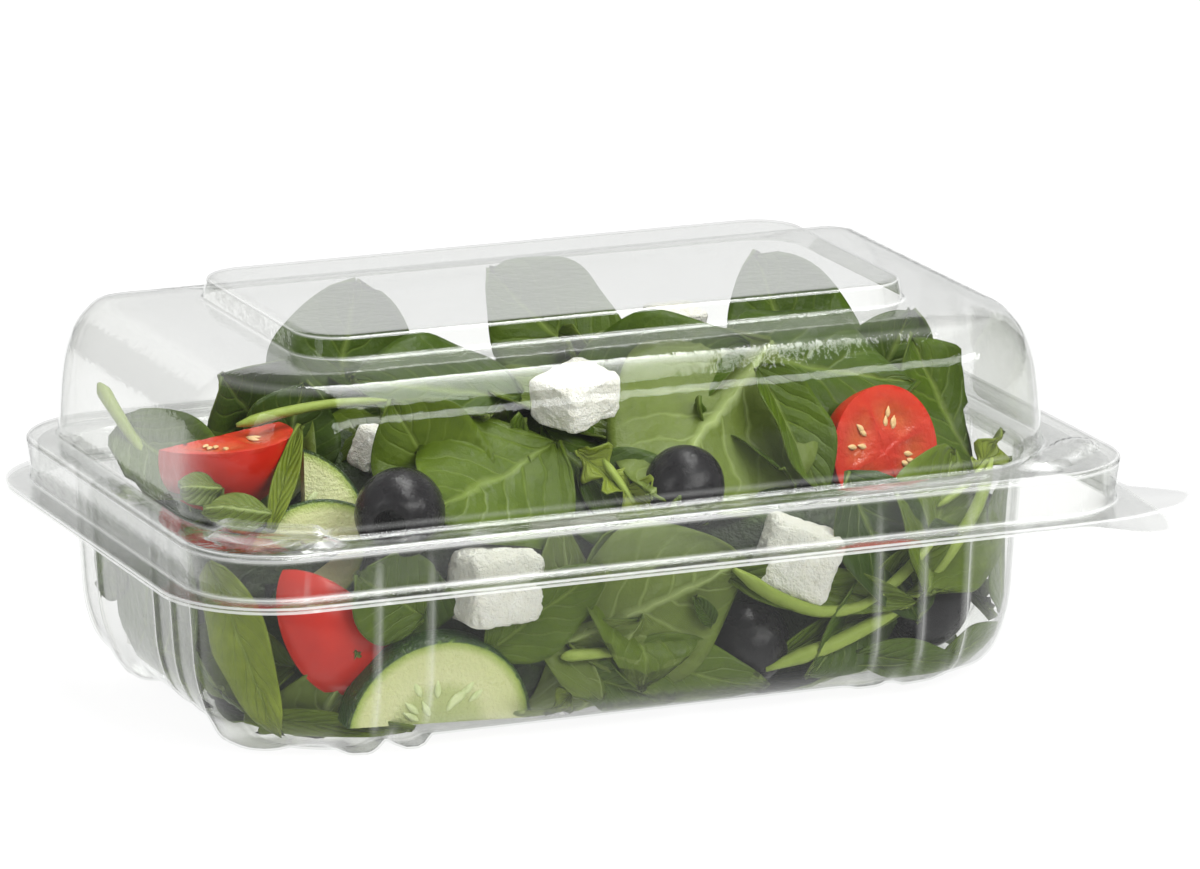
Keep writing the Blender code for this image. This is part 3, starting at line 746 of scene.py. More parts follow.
def leaf(length, width, cup=0.2, bend=0.5, ruffle=0.05, lobes=0, seed=0, across=7, along=20, narrow=0.8,
         blunt=0.72, thickness=0.35):
    """A leaf from its base at the origin towards +y, its upper side to +z."""
    dice = random.Random(seed)
    phase = [dice.uniform(0, math.tau) for _ in range(3)]
    v = np.linspace(0, 1, along + 1)[:, None]
    u = np.linspace(-1, 1, 2 * across + 1)[None, :]
    profile = np.sin(math.pi * np.clip(v, 0, 1) ** narrow) ** blunt
    if lobes:
        profile = profile * (0.62 + 0.38 * np.cos(math.tau * lobes * v + 0.6))
    half = np.maximum(profile * width / 2, 0.7 * (1 - v) + 0.05)
    wave = 1 + 0.05 * np.sin(9 * v + phase[0]) * np.abs(u)
    turn = bend * (v - 0.25) + 0.08 * np.sin(5 * v + phase[1])
    step = length / along
    y = np.cumsum(np.cos(turn), axis=0) * step - step
    z = np.cumsum(np.sin(turn), axis=0) * step
    x = u * half * wave
    edge = np.abs(u)
    lift = cup * width * 0.5 * edge ** 1.7 * (half / (width / 2)) ** 0.8
    lift = lift + ruffle * width * edge ** 3 * np.sin(math.tau * 1.7 * v + phase[2] + 1.3 * np.sign(u))
    quilt = np.abs(np.sin(math.pi * (VEIN_PAIRS * v - 2.4 * edge))) * (1 - edge ** 3) * np.minimum(edge * 4, 1)
    lift = lift + 0.028 * width * 0.5 * quilt - 0.5 * np.exp(-(u * half / 0.9) ** 2)
    top = np.stack([x * (1 - cup * 0.15 * edge), y + 0 * u, z + lift], axis=-1)
    rows, columns = top.shape[:2]
    du, dv = np.gradient(top, axis=1), np.gradient(top, axis=0)
    normal = np.cross(du, dv)
    normal /= np.maximum(np.linalg.norm(normal, axis=-1, keepdims=True), 1e-9)
    thinned = thickness * (1 + 1.6 * np.exp(-(u * half / 0.8) ** 2))[..., None]
    bottom = top - normal * thinned
    points = np.concatenate([top.reshape(-1, 3), bottom.reshape(-1, 3)])
    total = rows * columns
    faces = []
    for r in range(rows - 1):
        for c in range(columns - 1):
            a, b = r * columns + c, r * columns + c + 1
            d, e = a + columns, b + columns
            faces.append((a, b, e, d))
            faces.append((a + total, d + total, e + total, b + total))
    rim = ([(0, c) for c in range(columns)] + [(r, columns - 1) for r in range(1, rows)] +
           [(rows - 1, c) for c in range(columns - 2, -1, -1)] + [(r, 0) for r in range(rows - 2, 0, -1)])
    loop = [r * columns + c for r, c in rim]
    for a, b in zip(loop, loop[1:] + loop[:1]):
        faces.append((b, a, a + total, b + total))
    flat_map = np.stack([np.broadcast_to((u + 1) / 2, (rows, columns)),
                         np.broadcast_to(v, (rows, columns))], axis=-1).reshape(-1, 2)
    under = np.concatenate([np.zeros(total), np.ones(total)])
    return points, faces, under, np.concatenate([flat_map, flat_map])


def placed_leaf(base, tip, facing, width, tone=0.5, pale=False, seed=0, **shape):
    """A leaf laid from base to tip with its upper side towards facing, or its underside if pale."""
    base, tip = Vector(base), Vector(tip)
    y_dir = (tip - base).normalized()
    side = -Vector(facing) if pale else Vector(facing)
    x_dir = y_dir.cross(side).normalized()
    z_dir = x_dir.cross(y_dir)
    turn = np.array(Matrix((x_dir, y_dir, z_dir)))
    points, faces, under, flat_map = leaf((tip - base).length * 1.04, width, seed=seed, **shape)
    points = kept_inside(points @ turn + np.array(base))
    return points, faces, {"under": under, "tone": tone, "stalk": 0.0}, flat_map


def smooth_path(path, count):
    """A curve through a few points, at even steps of its parameter."""
    path = [np.array(p, float) for p in path]
    path = [2 * path[0] - path[1]] + path + [2 * path[-1] - path[-2]]
    result = []
    spans = len(path) - 3
    for t in np.linspace(0, spans, count):
        i = min(int(t), spans - 1)
        s = t - i
        a, b, c, d = path[i:i + 4]
        result.append(0.5 * (2 * b + (c - a) * s + (2 * a - 5 * b + 4 * c - d) * s ** 2 +
                             (3 * b - a - 3 * c + d) * s ** 3))
    return np.array(result)


def stalk(path, radius, end_radius):
    """A stalk along a path, a little flat and rounded at its ends."""
    spine = smooth_path(path, 7 * (len(path) - 1) + 1)
    count = len(spine)
    rows = []
    for i, centre in enumerate(spine):
        ahead = Vector(spine[min(i + 1, count - 1)] - spine[max(i - 1, 0)]).normalized()
        side = ahead.cross(Vector((0.1, 0.2, 1))).normalized()
        up = side.cross(ahead)
        share = i / (count - 1)
        size = radius + (end_radius - radius) * share
        size *= min(1.0, 0.35 + 6 * share, 0.35 + 6 * (1 - share))
        low = size * STALK_FLATNESS
        rows.append(np.array([centre + np.array(side * (math.cos(a) * size) + up * (math.sin(a) * low))
                              for a in np.linspace(0, math.tau, STALK_SIDES, endpoint=False)]))
    points, faces = bridged(rows, close_start=True, close_end=True)
    return (kept_inside(points), faces, {"under": 1.0, "tone": STALK_TONE, "stalk": 1.0},
            np.full((len(points), 2), 0.25))


# base, tip, the way the shown side faces, width, tone, whether the paler underside shows, shape
LEAVES = [
    # over the middle of the heap
    ((-13, -23, 57), (-47, -35, 46), (-0.15, -0.75, 0.65), 37, 0.62, False, dict(bend=0.5, cup=-0.12)),
    ((-34, -25, 44), (-47, -14, 66), (-0.25, -0.85, 0.45), 27, 0.66, False, dict(bend=0.7, cup=0.18)),
    ((42, -9, 69.5), (2, -33, 43), (-0.1, -0.8, 0.6), 46, 0.8, True, dict(bend=-0.5, cup=0.12)),
    ((35, -18, 67), (47, -29, 41), (0.35, -0.85, 0.4), 17, 0.55, False, dict(bend=-0.3, cup=0.5)),
    ((34, -4, 68), (74, -4, 55), (0, -0.7, 0.7), 32, 0.35, False, dict(bend=0.4, cup=-0.15)),
    ((92, -10, 36), (79, 4, 63), (0.3, -0.9, 0.3), 31, 0.5, False, dict(bend=0.3, cup=0.1)),
    ((70, 5, 46), (84, 16, 66), (0.1, -0.9, 0.4), 26, 0.35, False, dict(bend=0.4)),
    ((0, 2, 60), (36, -8, 68), (0, -0.75, 0.65), 26, 0.45, False, dict(bend=0.3)),
    ((-12, -2, 62), (-48, 2, 66), (0, -0.7, 0.7), 28, 0.4, False, dict(bend=0.3, cup=-0.1)),
    ((-8, -24, 50), (14, -37, 40), (0.1, -0.9, 0.4), 20, 0.3, False, dict(bend=0.4)),
    # standing leaves whose tips reach up under the panel
    ((-44, 22, 50), (-36, 33, 79.5), (-0.1, -0.9, 0.3), 34, 0.45, False, dict(bend=0.3, cup=0.12, blunt=0.55)),
    ((18, 22, 58), (-5, 33, 79.5), (0.1, -0.9, 0.35), 30, 0.5, False, dict(bend=0.3, cup=0.12, blunt=0.55)),
    ((66, 14, 48), (55, 31, 77.5), (0.1, -0.9, 0.3), 32, 0.4, False, dict(bend=0.3, cup=0.15, blunt=0.55)),
    ((-58, 14, 50), (-76, 8, 70), (-0.2, -0.9, 0.35), 28, 0.38, False, dict(bend=0.3)),
    # left end
    ((-91, 26, 58), (-84, -16, 48.5), (-0.5, -0.45, 0.75), 22, 0.55, False, dict(bend=0.2)),
    ((-86, -18, 52.5), (-95, -22, 55), (-0.2, -0.8, 0.5), 8, 0.8, True, dict(bend=0.5)),
    ((-78, -27, 48.5), (-91, -25, 51), (-0.1, -0.8, 0.6), 9, 0.8, True, dict(bend=0.5, cup=0.3)),
    ((-77, -25, 45), (-66, -13, 62), (-0.3, -0.9, 0.2), 5, 0.9, False, dict(bend=0.2, cup=0.5)),
    ((-66, -2, 48), (-58, 6, 66), (-0.2, -0.9, 0.3), 22, 0.2, False, dict(bend=0.3)),
    ((-92, -28, 40), (-81, -38, 6), (-0.65, -0.75, 0.05), 13, 0.92, False, dict(bend=0.15, cup=0.1, blunt=0.5)),
    ((-86, -33, 8), (-54, -43.5, 4.5), (0, -1, 0.3), 5.5, 0.75, False, dict(bend=0.25, cup=0.3)),
    ((-50, -42, 28), (-66, -44, 39), (-0.1, -1, 0.15), 22, 0.6, False, dict(bend=0.3, cup=0.15)),
    ((-46, -39, 36), (-54, -37, 23), (-0.1, -1, 0.1), 15, 0.35, False, dict(bend=0.2)),
    ((-94, 0, 12), (-94, -22, 40), (-1, -0.2, 0.1), 26, 0.4, False, dict(bend=0.2)),
    ((-90, 22, 8), (-93, -2, 36), (-1, -0.1, 0.1), 28, 0.3, False, dict(bend=0.15)),
    ((-92, 40, 20), (-93, 16, 44), (-1, 0.1, 0.1), 26, 0.45, False, dict(bend=0.2)),
    ((-88, -12, 7), (-91, 12, 18), (-1, -0.1, 0.2), 20, 0.5, True, dict(bend=0.2)),
    # low front
    ((-20, -44.5, 20), (19, -46, 33), (0, -1, 0.12), 34, 0.85, True, dict(bend=0.15, cup=0.08, narrow=0.95)),
    ((12, -47.8, 21), (8, -47.8, 27), (0.1, -1, 0.1), 4.5, 0.35, False, dict(bend=0.1)),
    ((-11, -46.5, 17), (24, -47, 5.5), (0, -1, 0.15), 15, 0.6, False, dict(bend=0.3, cup=0.2)),
    ((-17, -45.5, 13), (4, -46, 4.5), (0, -1, 0.1), 13, 0.5, False, dict(bend=0.2)),
    ((-37, -43.5, 19), (-13, -45, 35), (0, -1, 0.1), 17, 0.6, False, dict(bend=0.3)),
    ((17, -45, 30), (56, -45, 21), (0, -1, 0.2), 11, 0.7, False, dict(bend=0.6, cup=0.3)),
    ((46, -45, 20), (68, -43, 34), (0.1, -1, 0.2), 9, 0.75, False, dict(bend=0.3, cup=0.3)),
    ((26, -46, 11), (60, -44, 22), (0, -1, 0.1), 8, 0.7, False, dict(bend=0.4, cup=0.3)),
    ((46, -45, 10), (72, -42, 4.5), (0.1, -1, 0.1), 9, 0.5, False, dict(bend=0.3)),
    ((66, -43, 5), (84, -32, 9), (0.3, -1, 0.1), 9, 0.6, False, dict(bend=0.3)),
    ((44, -38, 36), (64, -40, 29), (0.1, -0.9, 0.5), 12, 0.55, False, dict(bend=0.3)),
    ((86, -31, 12), (88, -27, 43), (0.65, -0.75, 0), 24, 0.6, False, dict(bend=0.2)),
    # frilly bits
    ((-9, -25, 55), (4, -36, 43), (0, -0.85, 0.5), 12, 0.95, False, dict(lobes=4, ruffle=0.2, bend=0.4)),
    ((78, -31, 39), (88, -24, 49), (0.4, -0.8, 0.5), 10, 0.95, False, dict(lobes=3, ruffle=0.2, bend=0.3)),
    ((-14, -44, 12), (-24, -46, 5), (0, -1, 0.1), 9, 0.85, False, dict(lobes=3, ruffle=0.15)),
]
STALKS = [
    ([(-93, 33, 64), (-92, 27, 60), (-90, 18, 54), (-88, 8, 50)], 1.9, 1.0),
    ([(-77, -6, 62.5), (-66, -5, 64), (-55, -4, 64.5), (-43, -4, 64)], 1.7, 1.1),
    ([(-22, -47, 17.6), (-14, -47, 17.5), (-8, -46, 17)], 1.7, 1.5),
    ([(-32, -47, 6.5), (-26, -47.3, 5.5), (-19, -47, 6)], 1.4, 1.0),
    ([(17, -46.5, 32), (27, -47, 25), (38, -47.2, 21), (50, -46.5, 23), (66, -43, 34)], 2.1, 1.5),
    ([(24, -47, 10), (43, -47, 15), (60, -45, 23), (75, -39, 36), (84, -29, 45)], 2.4, 1.3),
    ([(-14, -47, 24), (-8, -47, 19), (-4, -47, 15)], 0.9, 0.9),
    ([(69, -34, 37), (78, -31, 41), (86, -25, 45)], 1.1, 0.8),
    ([(-4, -27, 53), (-1, -32, 47), (2, -36, 41)], 1.2, 0.8),
]


# ---------------------------------------------------------------- heap

HEAP_SIDES = 72
CROWN = dict(edge=32.0, rise=30.0, y=16.0, x_reach=86.0, front_reach=58.0, back_reach=42.0)


def heap_height(x, y):
    """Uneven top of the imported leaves, a little under the CAD heap's."""
    reach = np.where(y > CROWN["y"], CROWN["back_reach"], CROWN["front_reach"])
    crown = (np.maximum(0.0, 1 - (x / CROWN["x_reach"]) ** 2) *
             np.maximum(0.0, 1 - ((y - CROWN["y"]) / reach) ** 2))
    ripple = 2.6 * np.sin(x * 0.115 + 1.3) * np.cos(y * 0.14 - 0.6) + 1.7 * np.sin(x * 0.21 - y * 0.17 + 0.5)
    return CROWN["edge"] + CROWN["rise"] * crown + ripple * (0.35 + 0.65 * crown)


def heap_core(looks, toppings):
    """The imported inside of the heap, with how much room each place leaves for loose leaves."""
    angles = np.linspace(0, math.tau, HEAP_SIDES, endpoint=False)
    rows = []

    def row(inset, height, scale=1.0):
        hx, hy = BODY_HALF[0] - inset - 5.0, BODY_HALF[1] - inset - 7.5
        wave = 1.6 * np.sin(5 * angles + 1.0) + 1.2 * np.sin(9 * angles + 2.2)
        x = (hx + wave) * np.sign(np.cos(angles)) * np.abs(np.cos(angles)) ** HEAP_SQUARENESS * scale
        y = (hy + wave) * np.sign(np.sin(angles)) * np.abs(np.sin(angles)) ** HEAP_SQUARENESS * scale
        z = heap_height(x, y) if height is None else np.full(HEAP_SIDES, float(height))
        rows.append(np.column_stack([x + DOME_SHIFT[0], y + DOME_SHIFT[1], z]))

    for inset, height in ((13.0, 4.2), (8.0, 6.0), (4.0, 10.0), (2.2, 18.0), (1.6, 26.0), (1.6, 33.0)):
        row(inset, height)
    for scale in (0.985, 0.94, 0.87, 0.8, 0.72, 0.64, 0.55, 0.46, 0.37, 0.28, 0.19, 0.1):
        row(1.6, None, scale)
    points, faces = bridged(rows, close_start=True, close_end=True)
    for i, point in enumerate(points):
        lump = noise.fractal(Vector(point) * 0.11, 0.9, 2.0, 4)
        points[i] += np.array([0, 0, 1.6 * lump]) if point[2] > 30 else 0
    points[:, 2] = np.maximum(points[:, 2], 3.2)
    free = np.ones(len(points))
    for centre, reach in toppings:
        if centre[1] < -20:
            near = np.max(np.abs(points - centre)[:, [0, 2]], axis=1) < reach + 1.0
            points[near, 1] = np.maximum(points[near, 1], centre[1] + 5.0)
        free = np.minimum(free, np.clip((np.linalg.norm(points - centre, axis=1) - reach) / 6.0, 0, 1))
    mesh = make_mesh("leaf_core", points, faces, looks, {"free": free})
    return finish_piece(add_object("leaf_core", mesh), "tray", ["salad"])


def scatter_tree(name):
    """Scatters members of a collection over a surface, where the surface has room for them."""
    tree = bpy.data.node_groups.new(name, "GeometryNodeTree")
    for label, kind in (("Surface", "Geometry"), ("Kinds", "Collection"), ("Finish", "Material"),
                        ("Spacing", "Float"), ("Most per area", "Float"), ("Smallest", "Float"),
                        ("Largest", "Float"), ("Tilt", "Float"), ("Seed", "Int")):
        tree.interface.new_socket(name=label, in_out="INPUT", socket_type="NodeSocket" + kind)
    tree.interface.new_socket(name="Scattered", in_out="OUTPUT", socket_type="NodeSocketGeometry")
    given, result = tree.nodes.new("NodeGroupInput"), tree.nodes.new("NodeGroupOutput")
    take = given.outputs
    room = add_node(tree, "GeometryNodeInputNamedAttribute", {"Name": "free"})
    spots = add_node(tree, "GeometryNodeDistributePointsOnFaces", {
        "Mesh": take["Surface"], "Distance Min": take["Spacing"], "Density Max": take["Most per area"],
        "Density Factor": room.outputs["Attribute"], "Seed": take["Seed"]},
        distribute_method="POISSON")
    steep = math_node(tree, "MULTIPLY", take["Tilt"], -1.0)
    low = add_node(tree, "ShaderNodeCombineXYZ", {0: steep, 1: steep, 2: 0.0})
    high = add_node(tree, "ShaderNodeCombineXYZ", {0: take["Tilt"], 1: take["Tilt"], 2: math.tau})
    swing = add_node(tree, "FunctionNodeRandomValue", {0: low.outputs[0], 1: high.outputs[0],
                     "Seed": take["Seed"]}, data_type="FLOAT_VECTOR")
    turned = add_node(tree, "FunctionNodeRotateRotation", {"Rotation": spots.outputs["Rotation"],
                      "Rotate By": swing.outputs[0]}, rotation_space="LOCAL")
    size = add_node(tree, "FunctionNodeRandomValue", {2: take["Smallest"], 3: take["Largest"],
                    "Seed": take["Seed"]}, data_type="FLOAT")
    kinds = add_node(tree, "GeometryNodeCollectionInfo", {"Collection": take["Kinds"],
                     "Separate Children": True, "Reset Children": True})
    laid = add_node(tree, "GeometryNodeInstanceOnPoints", {
        "Points": spots.outputs["Points"], "Instance": kinds.outputs[0], "Pick Instance": True,
        "Rotation": turned.outputs[0], "Scale": size.outputs[1]})
    shade = add_node(tree, "FunctionNodeRandomValue", {2: 0.12, 3: 0.75, "Seed": 5}, data_type="FLOAT")
    toned = add_node(tree, "GeometryNodeStoreNamedAttribute", {"Geometry": laid.outputs[0],
                     "Name": "tone", "Value": shade.outputs[1]}, data_type="FLOAT", domain="INSTANCE")
    real = add_node(tree, "GeometryNodeRealizeInstances", {"Geometry": toned.outputs[0]})
    looks = add_node(tree, "GeometryNodeSetMaterial", {"Geometry": real.outputs[0],
                     "Material": take["Finish"]})
    tree.links.new(looks.outputs[0], result.inputs[0])
    return tree


def scattered(tree, name, surface, kinds, values):
    """The mesh that a scatter makes over a copy of a surface, and nothing else left behind."""
    stand = add_object(name, surface.copy())
    step = stand.modifiers.new("scatter", "NODES")
    step.node_group = tree
    for item in tree.interface.items_tree:
        if item.in_out == "INPUT" and item.name in values:
            step[item.identifier] = values[item.name]
    bpy.context.view_layer.update()
    mesh = bpy.data.meshes.new_from_object(stand.evaluated_get(bpy.context.evaluated_depsgraph_get()))
    bpy.data.objects.remove(stand)
    for kind in list(kinds.objects):
        bpy.data.objects.remove(kind)
    bpy.data.collections.remove(kinds)
    mesh.name = name
    return mesh


def kinds_collection(name, meshes):
    """A collection of objects to scatter, whose meshes are in metres about the origin."""
    collection = bpy.data.collections.new(name)
    for number, mesh in enumerate(meshes):
        collection.objects.link(bpy.data.objects.new(f"{name}_{number}", mesh))
    return collection


def local_mesh(name, points, faces, looks, values=None, leaf_map=None):
    return make_mesh(name, np.asarray(points) - ORIGIN, faces, looks, values, leaf_map)


def loose_leaves(tree, core, looks):
    """Leaves all over the heap, pressed back inside the mouldings."""
    meshes = []
    for seed, (length, width, shape) in enumerate((
            (36, 26, dict(cup=0.25, bend=0.5)), (42, 30, dict(cup=-0.15, bend=0.7)),
            (30, 18, dict(cup=0.35, bend=0.4)), (46, 28, dict(cup=0.15, bend=-0.5)),
            (34, 14, dict(cup=0.2, bend=0.6, lobes=3, ruffle=0.15)))):
        points, faces, under, flat_map = leaf(length, width, seed=40 + seed, across=5, along=13, **shape)
        points = points - np.array([0, length / 2, 1.0])
        if seed == 3:
            points = points * np.array([-1, 1, -1])
        meshes.append(local_mesh(f"leaf_kind_{seed}", points, faces, looks,
                                 {"under": under, "stalk": np.zeros(len(points))}, flat_map))
    mesh = scattered(tree, "loose_leaves", core.data, kinds_collection("leaf_kinds", meshes), {
        "Kinds": bpy.data.collections["leaf_kinds"], "Finish": looks, "Spacing": 0.0115,
        "Most per area": 9000.0, "Smallest": 0.75, "Largest": 1.15, "Tilt": 0.42, "Seed": 7})
    points = np.zeros(len(mesh.vertices) * 3, np.float32)
    mesh.vertices.foreach_get("co", points)
    points = kept_inside(points.reshape(-1, 3) / MM - ORIGIN)
    mesh.vertices.foreach_set("co", ((points + ORIGIN) * MM).astype(np.float32).ravel())
    mesh.shade_smooth()
    return finish_piece(add_object("loose_leaves", mesh), "tray", ["salad"])


# ---------------------------------------------------------------- toppings

TOPPINGS = [
    ("tomato_left", (16, 16, 15, 110), (-80, -3.5, 60), (1, 0.25, 0.05), (0.1, -0.6, -0.8)),
    ("tomato_right", (13, 14, 14, 180), (63.5, -20, 46.5), (-0.35, 0.1, 1), (-0.25, 0.95, -0.2)),
    ("tomato_low", (14, 14, 16, 85), (-66.5, -28.5, 24.5), (0.6, 0.05, -0.8), (-0.3, -1, 0.1)),
    ("cucumber_back", (18, 5, 150), (-71, -15.5, 41), (-0.2, -1, 0.35), (0.95, 0, -0.1)),
    ("cucumber_middle", (18, 5, 120), (-66, -26.5, 32), (-0.25, -1, 0.3), (0, 0.3, 1)),
    ("cucumber_low", (20.5, 6, 170), (-47.5, -40, 4), (0, -1, -0.15), (0.05, 0, 1)),
    ("olive_left", (20, 18.5), (-53.5, -37.5, 49), (-0.55, -0.8, -0.05), (0, 0, 1)),
    ("olive_middle", (18, 17), (11.5, -33, 46.5), (0.5, 0.5, 0.8), (1, 0, 0)),
    ("olive_right", (19.5, 18), (66, -36, 17.5), (0.6, 0.5, 0.7), (1, 0, 0)),
    ("olive_low", (18, 16.5), (24, -39, 14), (0.3, 0.8, 0.4), (1, 0, 0)),
    ("feta_top", (15.5, 13, 10, 1), (-7, -19, 65), (-0.1, -0.2, 1), (1, 0.45, 0)),
    ("feta_front_left", (17.5, 12, 15, 2), (-34, -41.5, 32.7), (0.05, 0, 1), (1, 0.2, 0)),
    ("feta_front_right", (16, 12, 15, 3), (33.5, -41.5, 31.5), (0.35, -0.1, 1), (1, -0.3, 0)),
    ("feta_small", (8, 7, 9, 4), (-47.5, -8, 55), (0.3, -0.2, 1), (1, 0.4, 0)),
    ("feta_back", (12, 10, 7, 5), (28, 10, 71), (0.05, -0.1, 1), (1, 0.1, 0)),
    ("feta_corner", (10, 8, 8, 6), (-82, 31, 10.5), (0.1, 0, 1), (1, 0.3, 0)),
]


def turned(axis, facing):
    """Rows are the directions of a topping's own x, y and z."""
    z_dir = Vector(axis).normalized()
    y_dir = z_dir.cross(Vector(facing)).normalized()
    return np.array([y_dir.cross(z_dir), y_dir, z_dir])


def pip(centre, long_way, flat_way, size):
    """A seed: a small drop, pointed at one end and lying flat."""
    long_way, flat_way = Vector(long_way).normalized(), Vector(flat_way).normalized()
    side = long_way.cross(flat_way).normalized()
    flat_way = side.cross(long_way)
    frame_rows = np.array([side, flat_way, long_way])
    rings = []
    for share in np.linspace(0, 1, PIP_ROWS + 1):
        wide = math.sin(math.pi * min(max(share, 0.03), 0.97)) ** 0.8 * (1.15 - 0.6 * share)
        rings.append(np.array([(math.cos(a) * size[0] * wide, math.sin(a) * size[1] * wide,
                                (share - 0.5) * 2 * size[2])
                               for a in np.linspace(0, math.tau, PIP_SIDES, endpoint=False)]))
    points, faces = bridged(rings, close_start=True, close_end=True)
    return points @ frame_rows + np.array(centre), faces, {}, None


def faced(faces, keep):
    """The faces as they are, or turned over."""
    return faces if keep else [face[::-1] for face in faces]


def tomato_parts(radii_and_sweep):
    """The flesh with its skin, and the seeds, of a piece of tomato cut through its stalk axis."""
    rx, ry, rz, sweep = radii_and_sweep
    rows, columns, rings = 26, 30, 14
    polar = np.linspace(0.0, math.pi, rows + 1)
    half = math.radians(sweep) / 2
    parts = []
    grid = np.array([[(rx * math.cos(t) * math.sin(p), ry * math.sin(t) * math.sin(p),
                       rz * math.cos(p) - 0.05 * rz * math.exp(-(p / 0.3) ** 2))
                      for p in polar] for t in np.linspace(-half, half, columns + 1)])
    points, faces = bridged(list(grid), loop=False)
    parts.append((points, faces, {"cut": 0.0, "gel": 0.0}, None))
    seeds = []
    dice = random.Random(int(sweep))
    turns = (-half, half)
    for number, turn in enumerate(turns):
        out = np.array([rx * math.cos(turn), ry * math.sin(turn), 0.0])
        out_length = np.linalg.norm(out)
        normal = np.cross(out, (0, 0, 1.0)) / out_length * (1 if number == 0 else -1)
        face_points, gel = [], []
        for share in np.linspace(0, 1, rings + 1):
            for p in polar:
                place = out * math.sin(p) * share + np.array([0, 0, rz * math.cos(p) * share])
                pocket = (math.exp(-((share - 0.55) / 0.2) ** 2) *
                          max(0.0, math.sin(p * 2.0)) ** 0.5 if math.sin(2 * p) > 0 else
                          math.exp(-((share - 0.55) / 0.2) ** 2) * max(0.0, -math.sin(p * 2.0)) ** 0.5)
                ripple = 0.25 * noise.noise(Vector(place) * 0.7 + Vector((number * 7, 0, 0)))
                sunk = 0.9 * pocket * (share < 0.97)
                face_points.append(place - normal * (sunk - ripple * (share < 0.97)))
                gel.append(min(1.0, pocket * 1.2))
        points, faces = bridged(np.array(face_points).reshape(rings + 1, rows + 1, 3), loop=False)
        parts.append((points, faced(faces, number), {"cut": 1.0, "gel": np.array(gel)}, None))
        for centre_angle in (0.25 * math.pi, 0.75 * math.pi):
            for _ in range(4):
                p = centre_angle + dice.uniform(-0.32, 0.32)
                share = dice.uniform(0.42, 0.68)
                place = out * math.sin(p) * share + np.array([0, 0, rz * math.cos(p) * share])
                way = out * math.sin(p) + np.array([0, 0, rz * math.cos(p)])
                seeds.append(pip(place - normal * 0.45, way, normal, (0.75, 0.35, 1.25)))
    return parts, seeds


def cucumber_parts(radius, thickness, sweep, seed):
    """The flesh with its skin, and the seeds, of part of a cucumber slice."""
    columns, rows = 64, 18
    half = math.radians(sweep) / 2
    angles = np.linspace(-half, half, columns + 1)
    chord = radius * math.cos(half)
    dice = random.Random(seed)

    def layer(level, grow):
        ring = []
        for share in np.linspace(0, 1, rows + 1):
            for angle in angles:
                reach = radius + grow * (share > 0.999)
                x = chord + (reach * math.cos(angle) - chord) * share
                y = reach * math.sin(angle)
                ring.append((x, y, level))
        return np.array(ring)

    parts = []
    for side in (-1, 1):
        points = layer(side * thickness / 2, -0.7)
        distance = np.hypot(points[:, 0], points[:, 1]) / radius
        dip = 0.35 * np.exp(-((distance - 0.4) / 0.2) ** 2)
        points[:, 2] -= side * dip
        radial = np.clip(distance, 0, 1) * 0.985
        points, faces = bridged(points.reshape(rows + 1, columns + 1, 3), loop=False)
        parts.append((points, faced(faces, side < 0), {"radial": radial}, None))
    skin_rows = []
    for grow, level in ((-0.7, -0.5), (-0.15, -0.42), (0.0, -0.3), (0.0, 0.3), (-0.15, 0.42), (-0.7, 0.5)):
        skin_rows.append(np.array([((radius + grow) * math.cos(a), (radius + grow) * math.sin(a),
                                    level * thickness) for a in angles]))
    points, faces = bridged(skin_rows, loop=False)
    parts.append((points, faces, {"radial": 1.0}, None))
    cut_rows = [np.array([(chord, (radius - 0.7) * math.sin(a), level * thickness) for a in angles])
                for level in (0.5, 0.25, 0.0, -0.25, -0.5)]
    points, faces = bridged(cut_rows, loop=False)
    parts.append((points, faces, {"radial": np.hypot(points[:, 0], points[:, 1]) / radius}, None))
    seeds = []
    for side in (-1, 1):
        for _ in range(15):
            angle = dice.uniform(-half, half) * 0.92
            reach = dice.uniform(0.27, 0.55) * radius
            x, y = reach * math.cos(angle), reach * math.sin(angle)
            if x < chord + 1.6:
                continue
            seeds.append(pip((x, y, side * (thickness / 2 - 0.25)), (x, y, 0), (0, 0, side),
                             (0.95, 0.38, 2.1)))
    return parts, seeds


def olive_parts(length, width, sides=48):
    """A pitted olive turned about its own length."""
    hole, depth = width * 0.17, length * 0.36
    profile = [(0.0, -depth * 0.2, 1), (hole * 0.8, -depth * 0.2, 1), (hole, -depth * 0.1, 1),
               (hole, depth * 0.4, 1), (hole, length * 0.42, 1), (hole * 1.08, length * 0.455, 0.5)]
    for i in range(1, 26):
        angle = math.pi * (0.1 + 0.9 * i / 25)
        profile.append((max(width / 2 * math.sin(angle) ** 0.85, 0.0), length / 2 * math.cos(angle) * 1.01, 0))
    rows, pit = [], []
    for radius, height, inside in profile:
        rows.append(np.array([(max(radius, 0.02) * math.cos(a), max(radius, 0.02) * math.sin(a), height)
                              for a in np.linspace(0, math.tau, sides, endpoint=False)]))
        pit += [inside] * sides
    points, faces = bridged(rows, close_start=True, close_end=True)
    for i, point in enumerate(points):
        if not pit[i]:
            points[i] = point * (1 + 0.012 * noise.noise(Vector(point) * 0.16 + Vector((length, 0, 0))))
    return [(points, [f[::-1] for f in faces], {"pit": np.array(pit, float)}, None)]


